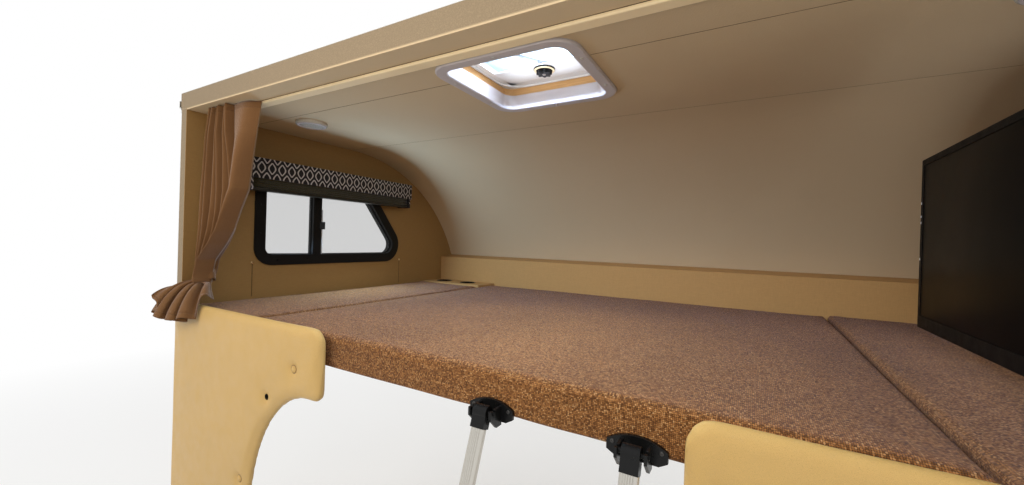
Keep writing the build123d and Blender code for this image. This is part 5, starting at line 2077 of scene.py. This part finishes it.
@dataclass(frozen=True)
class Softbox:
    """Soft rectangular lamp: where it stands, the point it faces, its size, watts and colour."""

    name: str
    place: Triple
    target: Triple
    size: Pair
    power: float
    colour: Colour

    def build(self) -> None:
        """Hangs the lamp, which the camera and reflections don't see."""
        data = bpy.data.lights.new(self.name, "AREA")
        data.shape, data.size, data.size_y = "RECTANGLE", *self.size
        data.energy, data.color = self.power, self.colour
        way = Vector(self.target) - Vector(self.place)
        obj = placed(self.name, data)
        obj.matrix_world = Matrix.Translation(self.place) @ way.to_track_quat("-Z", "Y").to_matrix().to_4x4()
        obj.visible_camera = obj.visible_glossy = False


LAMPS = (
    Softbox("key", (-1.6, -4.4, 2.2), (0.1, -0.3, 0.1), (3.4, 2.2), 90.0, (1.0, 0.96, 0.91)),
    Softbox("front", (2.4, 4.6, 2.6), (0.0, 0.0, 0.2), (3.0, 2.2), 45.0, (1.0, 0.98, 0.96)),
    Softbox("opening", (0.1, -1.60, 0.75), (0.0, 0.6, 0.45), (1.8, 0.5), 4.2, (1.0, 0.92, 0.82)),
    Softbox("left_window", (-1.205, -0.36, 0.44), (0.0, -0.42, 0.10), (0.60, 0.24), 9.0, (0.44, 0.68, 1.0)),
    Softbox("right_window", (1.205, -0.36, 0.44), (0.0, -0.36, 0.40), (0.60, 0.24), 1.2, (0.80, 0.88, 1.0)),
    Softbox("vent_daylight", (0.0, -0.693, 0.925), (0.0, -0.693, 0.0), (0.27, 0.27), 5.5, (0.66, 0.79, 1.0)),
    Softbox("vent_patch", (0.0, -0.693, 0.822), (0.0, -0.60, 0.0), (0.28, 0.28), 7.0, (0.50, 0.68, 1.0)),
    Softbox("vent_glow", (0.0, -0.693, 0.850), (0.0, -0.693, 2.0), (0.24, 0.24), 0.35, (0.82, 0.88, 1.0)),
)


@dataclass
class Stage:
    """Pale floor, white surroundings, soft lamps and the camera at the photograph's viewing angle."""

    floor: float = -1.2932
    eye: Triple = (0.5390, -1.6900, 0.3963)
    yaw: float = -30.17
    pitch: float = -0.15
    roll: float = 1.73
    lens: float = 14.518

    def build(self) -> None:
        """Builds the stage."""
        self.lay_floor()
        self.world()
        for lamp in LAMPS:
            lamp.build()
        self.camera()

    def lay_floor(self) -> None:
        """Floor plane, which keeps the object's shadow and fades to white far away."""
        mesh = bmesh.new()
        bmesh.ops.create_grid(mesh, x_segments=1, y_segments=1, size=30.0)
        bmesh.ops.translate(mesh, vec=(0, 0, self.floor), verts=mesh.verts)
        data = finished_data("stage_floor", mesh)
        tree = Tree(bpy.data.materials.new("stage_floor"))
        seen, place = self.unlit(tree), tree.point()
        far = tree.number("VectorMath", {0: place}, "Value", operation="LENGTH").spread(2.5, 7.0)
        base = tree.blend(tree.noise(place, 0.8, 3.0), (0.80, 0.80, 0.79), (0.83, 0.83, 0.82))
        data.materials.append(tree.finish(
            Base_Color=tree.blend(far * seen, base, (0.0, 0.0, 0.0)), Roughness=0.9, Specular_IOR_Level=0.0,
            Emission_Color=(1.0, 1.0, 1.0), Emission_Strength=seen * (far * 0.78 + 0.22),
        ))
        obj = placed("stage_floor", data)

    @staticmethod
    def unlit(tree: Tree) -> Number:
        """1 for rays from the camera, reflections and glass, which see white surroundings.

        Args:
            tree: The nodes of the floor or of the world.

        Returns:
            The share, 0 or 1.
        """
        path = tree.add("LightPath").outputs
        seen = Number(tree, path["Is Camera Ray"]).step("MAXIMUM", path["Is Glossy Ray"])
        return seen.step("MAXIMUM", path["Is Transmission Ray"])

    def world(self) -> None:
        """White to the eye, and a plain even light on the object."""
        world = bpy.data.worlds.new("surroundings")
        bpy.context.scene.world = world
        tree = Tree(world)
        sky = next(node for node in tree.nodes if node.type == "BACKGROUND")
        tree.feed(sky.inputs["Color"], (1.0, 1.0, 1.0))
        tree.feed(sky.inputs["Strength"], tree.pick(self.unlit(tree), 0.62, 1.0))

    def camera(self) -> None:
        """Camera behind the bunk on the right, turned to the left."""
        yaw, pitch, roll = (math.radians(angle) for angle in (self.yaw, self.pitch, self.roll))
        ahead = Vector((math.sin(yaw) * math.cos(pitch), math.cos(yaw) * math.cos(pitch), math.sin(pitch)))
        level = Vector((math.cos(yaw), -math.sin(yaw), 0.0))
        over = level.cross(ahead)
        right = math.cos(roll) * level + math.sin(roll) * over
        up = -math.sin(roll) * level + math.cos(roll) * over
        data = bpy.data.cameras.new("camera")
        data.sensor_fit, data.sensor_width, data.lens = "HORIZONTAL", 36.0, self.lens
        data.clip_start, data.clip_end = 0.02, 100.0
        obj = placed("camera", data)
        obj.matrix_world = Matrix.Translation(self.eye) @ Matrix((right, up, -ahead)).transposed().to_4x4()
        bpy.context.scene.camera = obj
        bpy.context.scene.view_settings.view_transform = "Standard"


def main() -> None:
    """Builds the sub-assemblies in order."""
    logging.basicConfig(level=logging.INFO, format="%(name)s: %(message)s")
    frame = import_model()
    Stage().build()
    shop = Workshop(frame)
    for assembly in (Shell, Windows, Valances, Shades, Vent, Ladder, Television, Curtain, Cheeks, Berth):
        log.info("building: %s", assembly.__name__)
        assembly(shop).build()


if __name__ == "__main__":
    main()
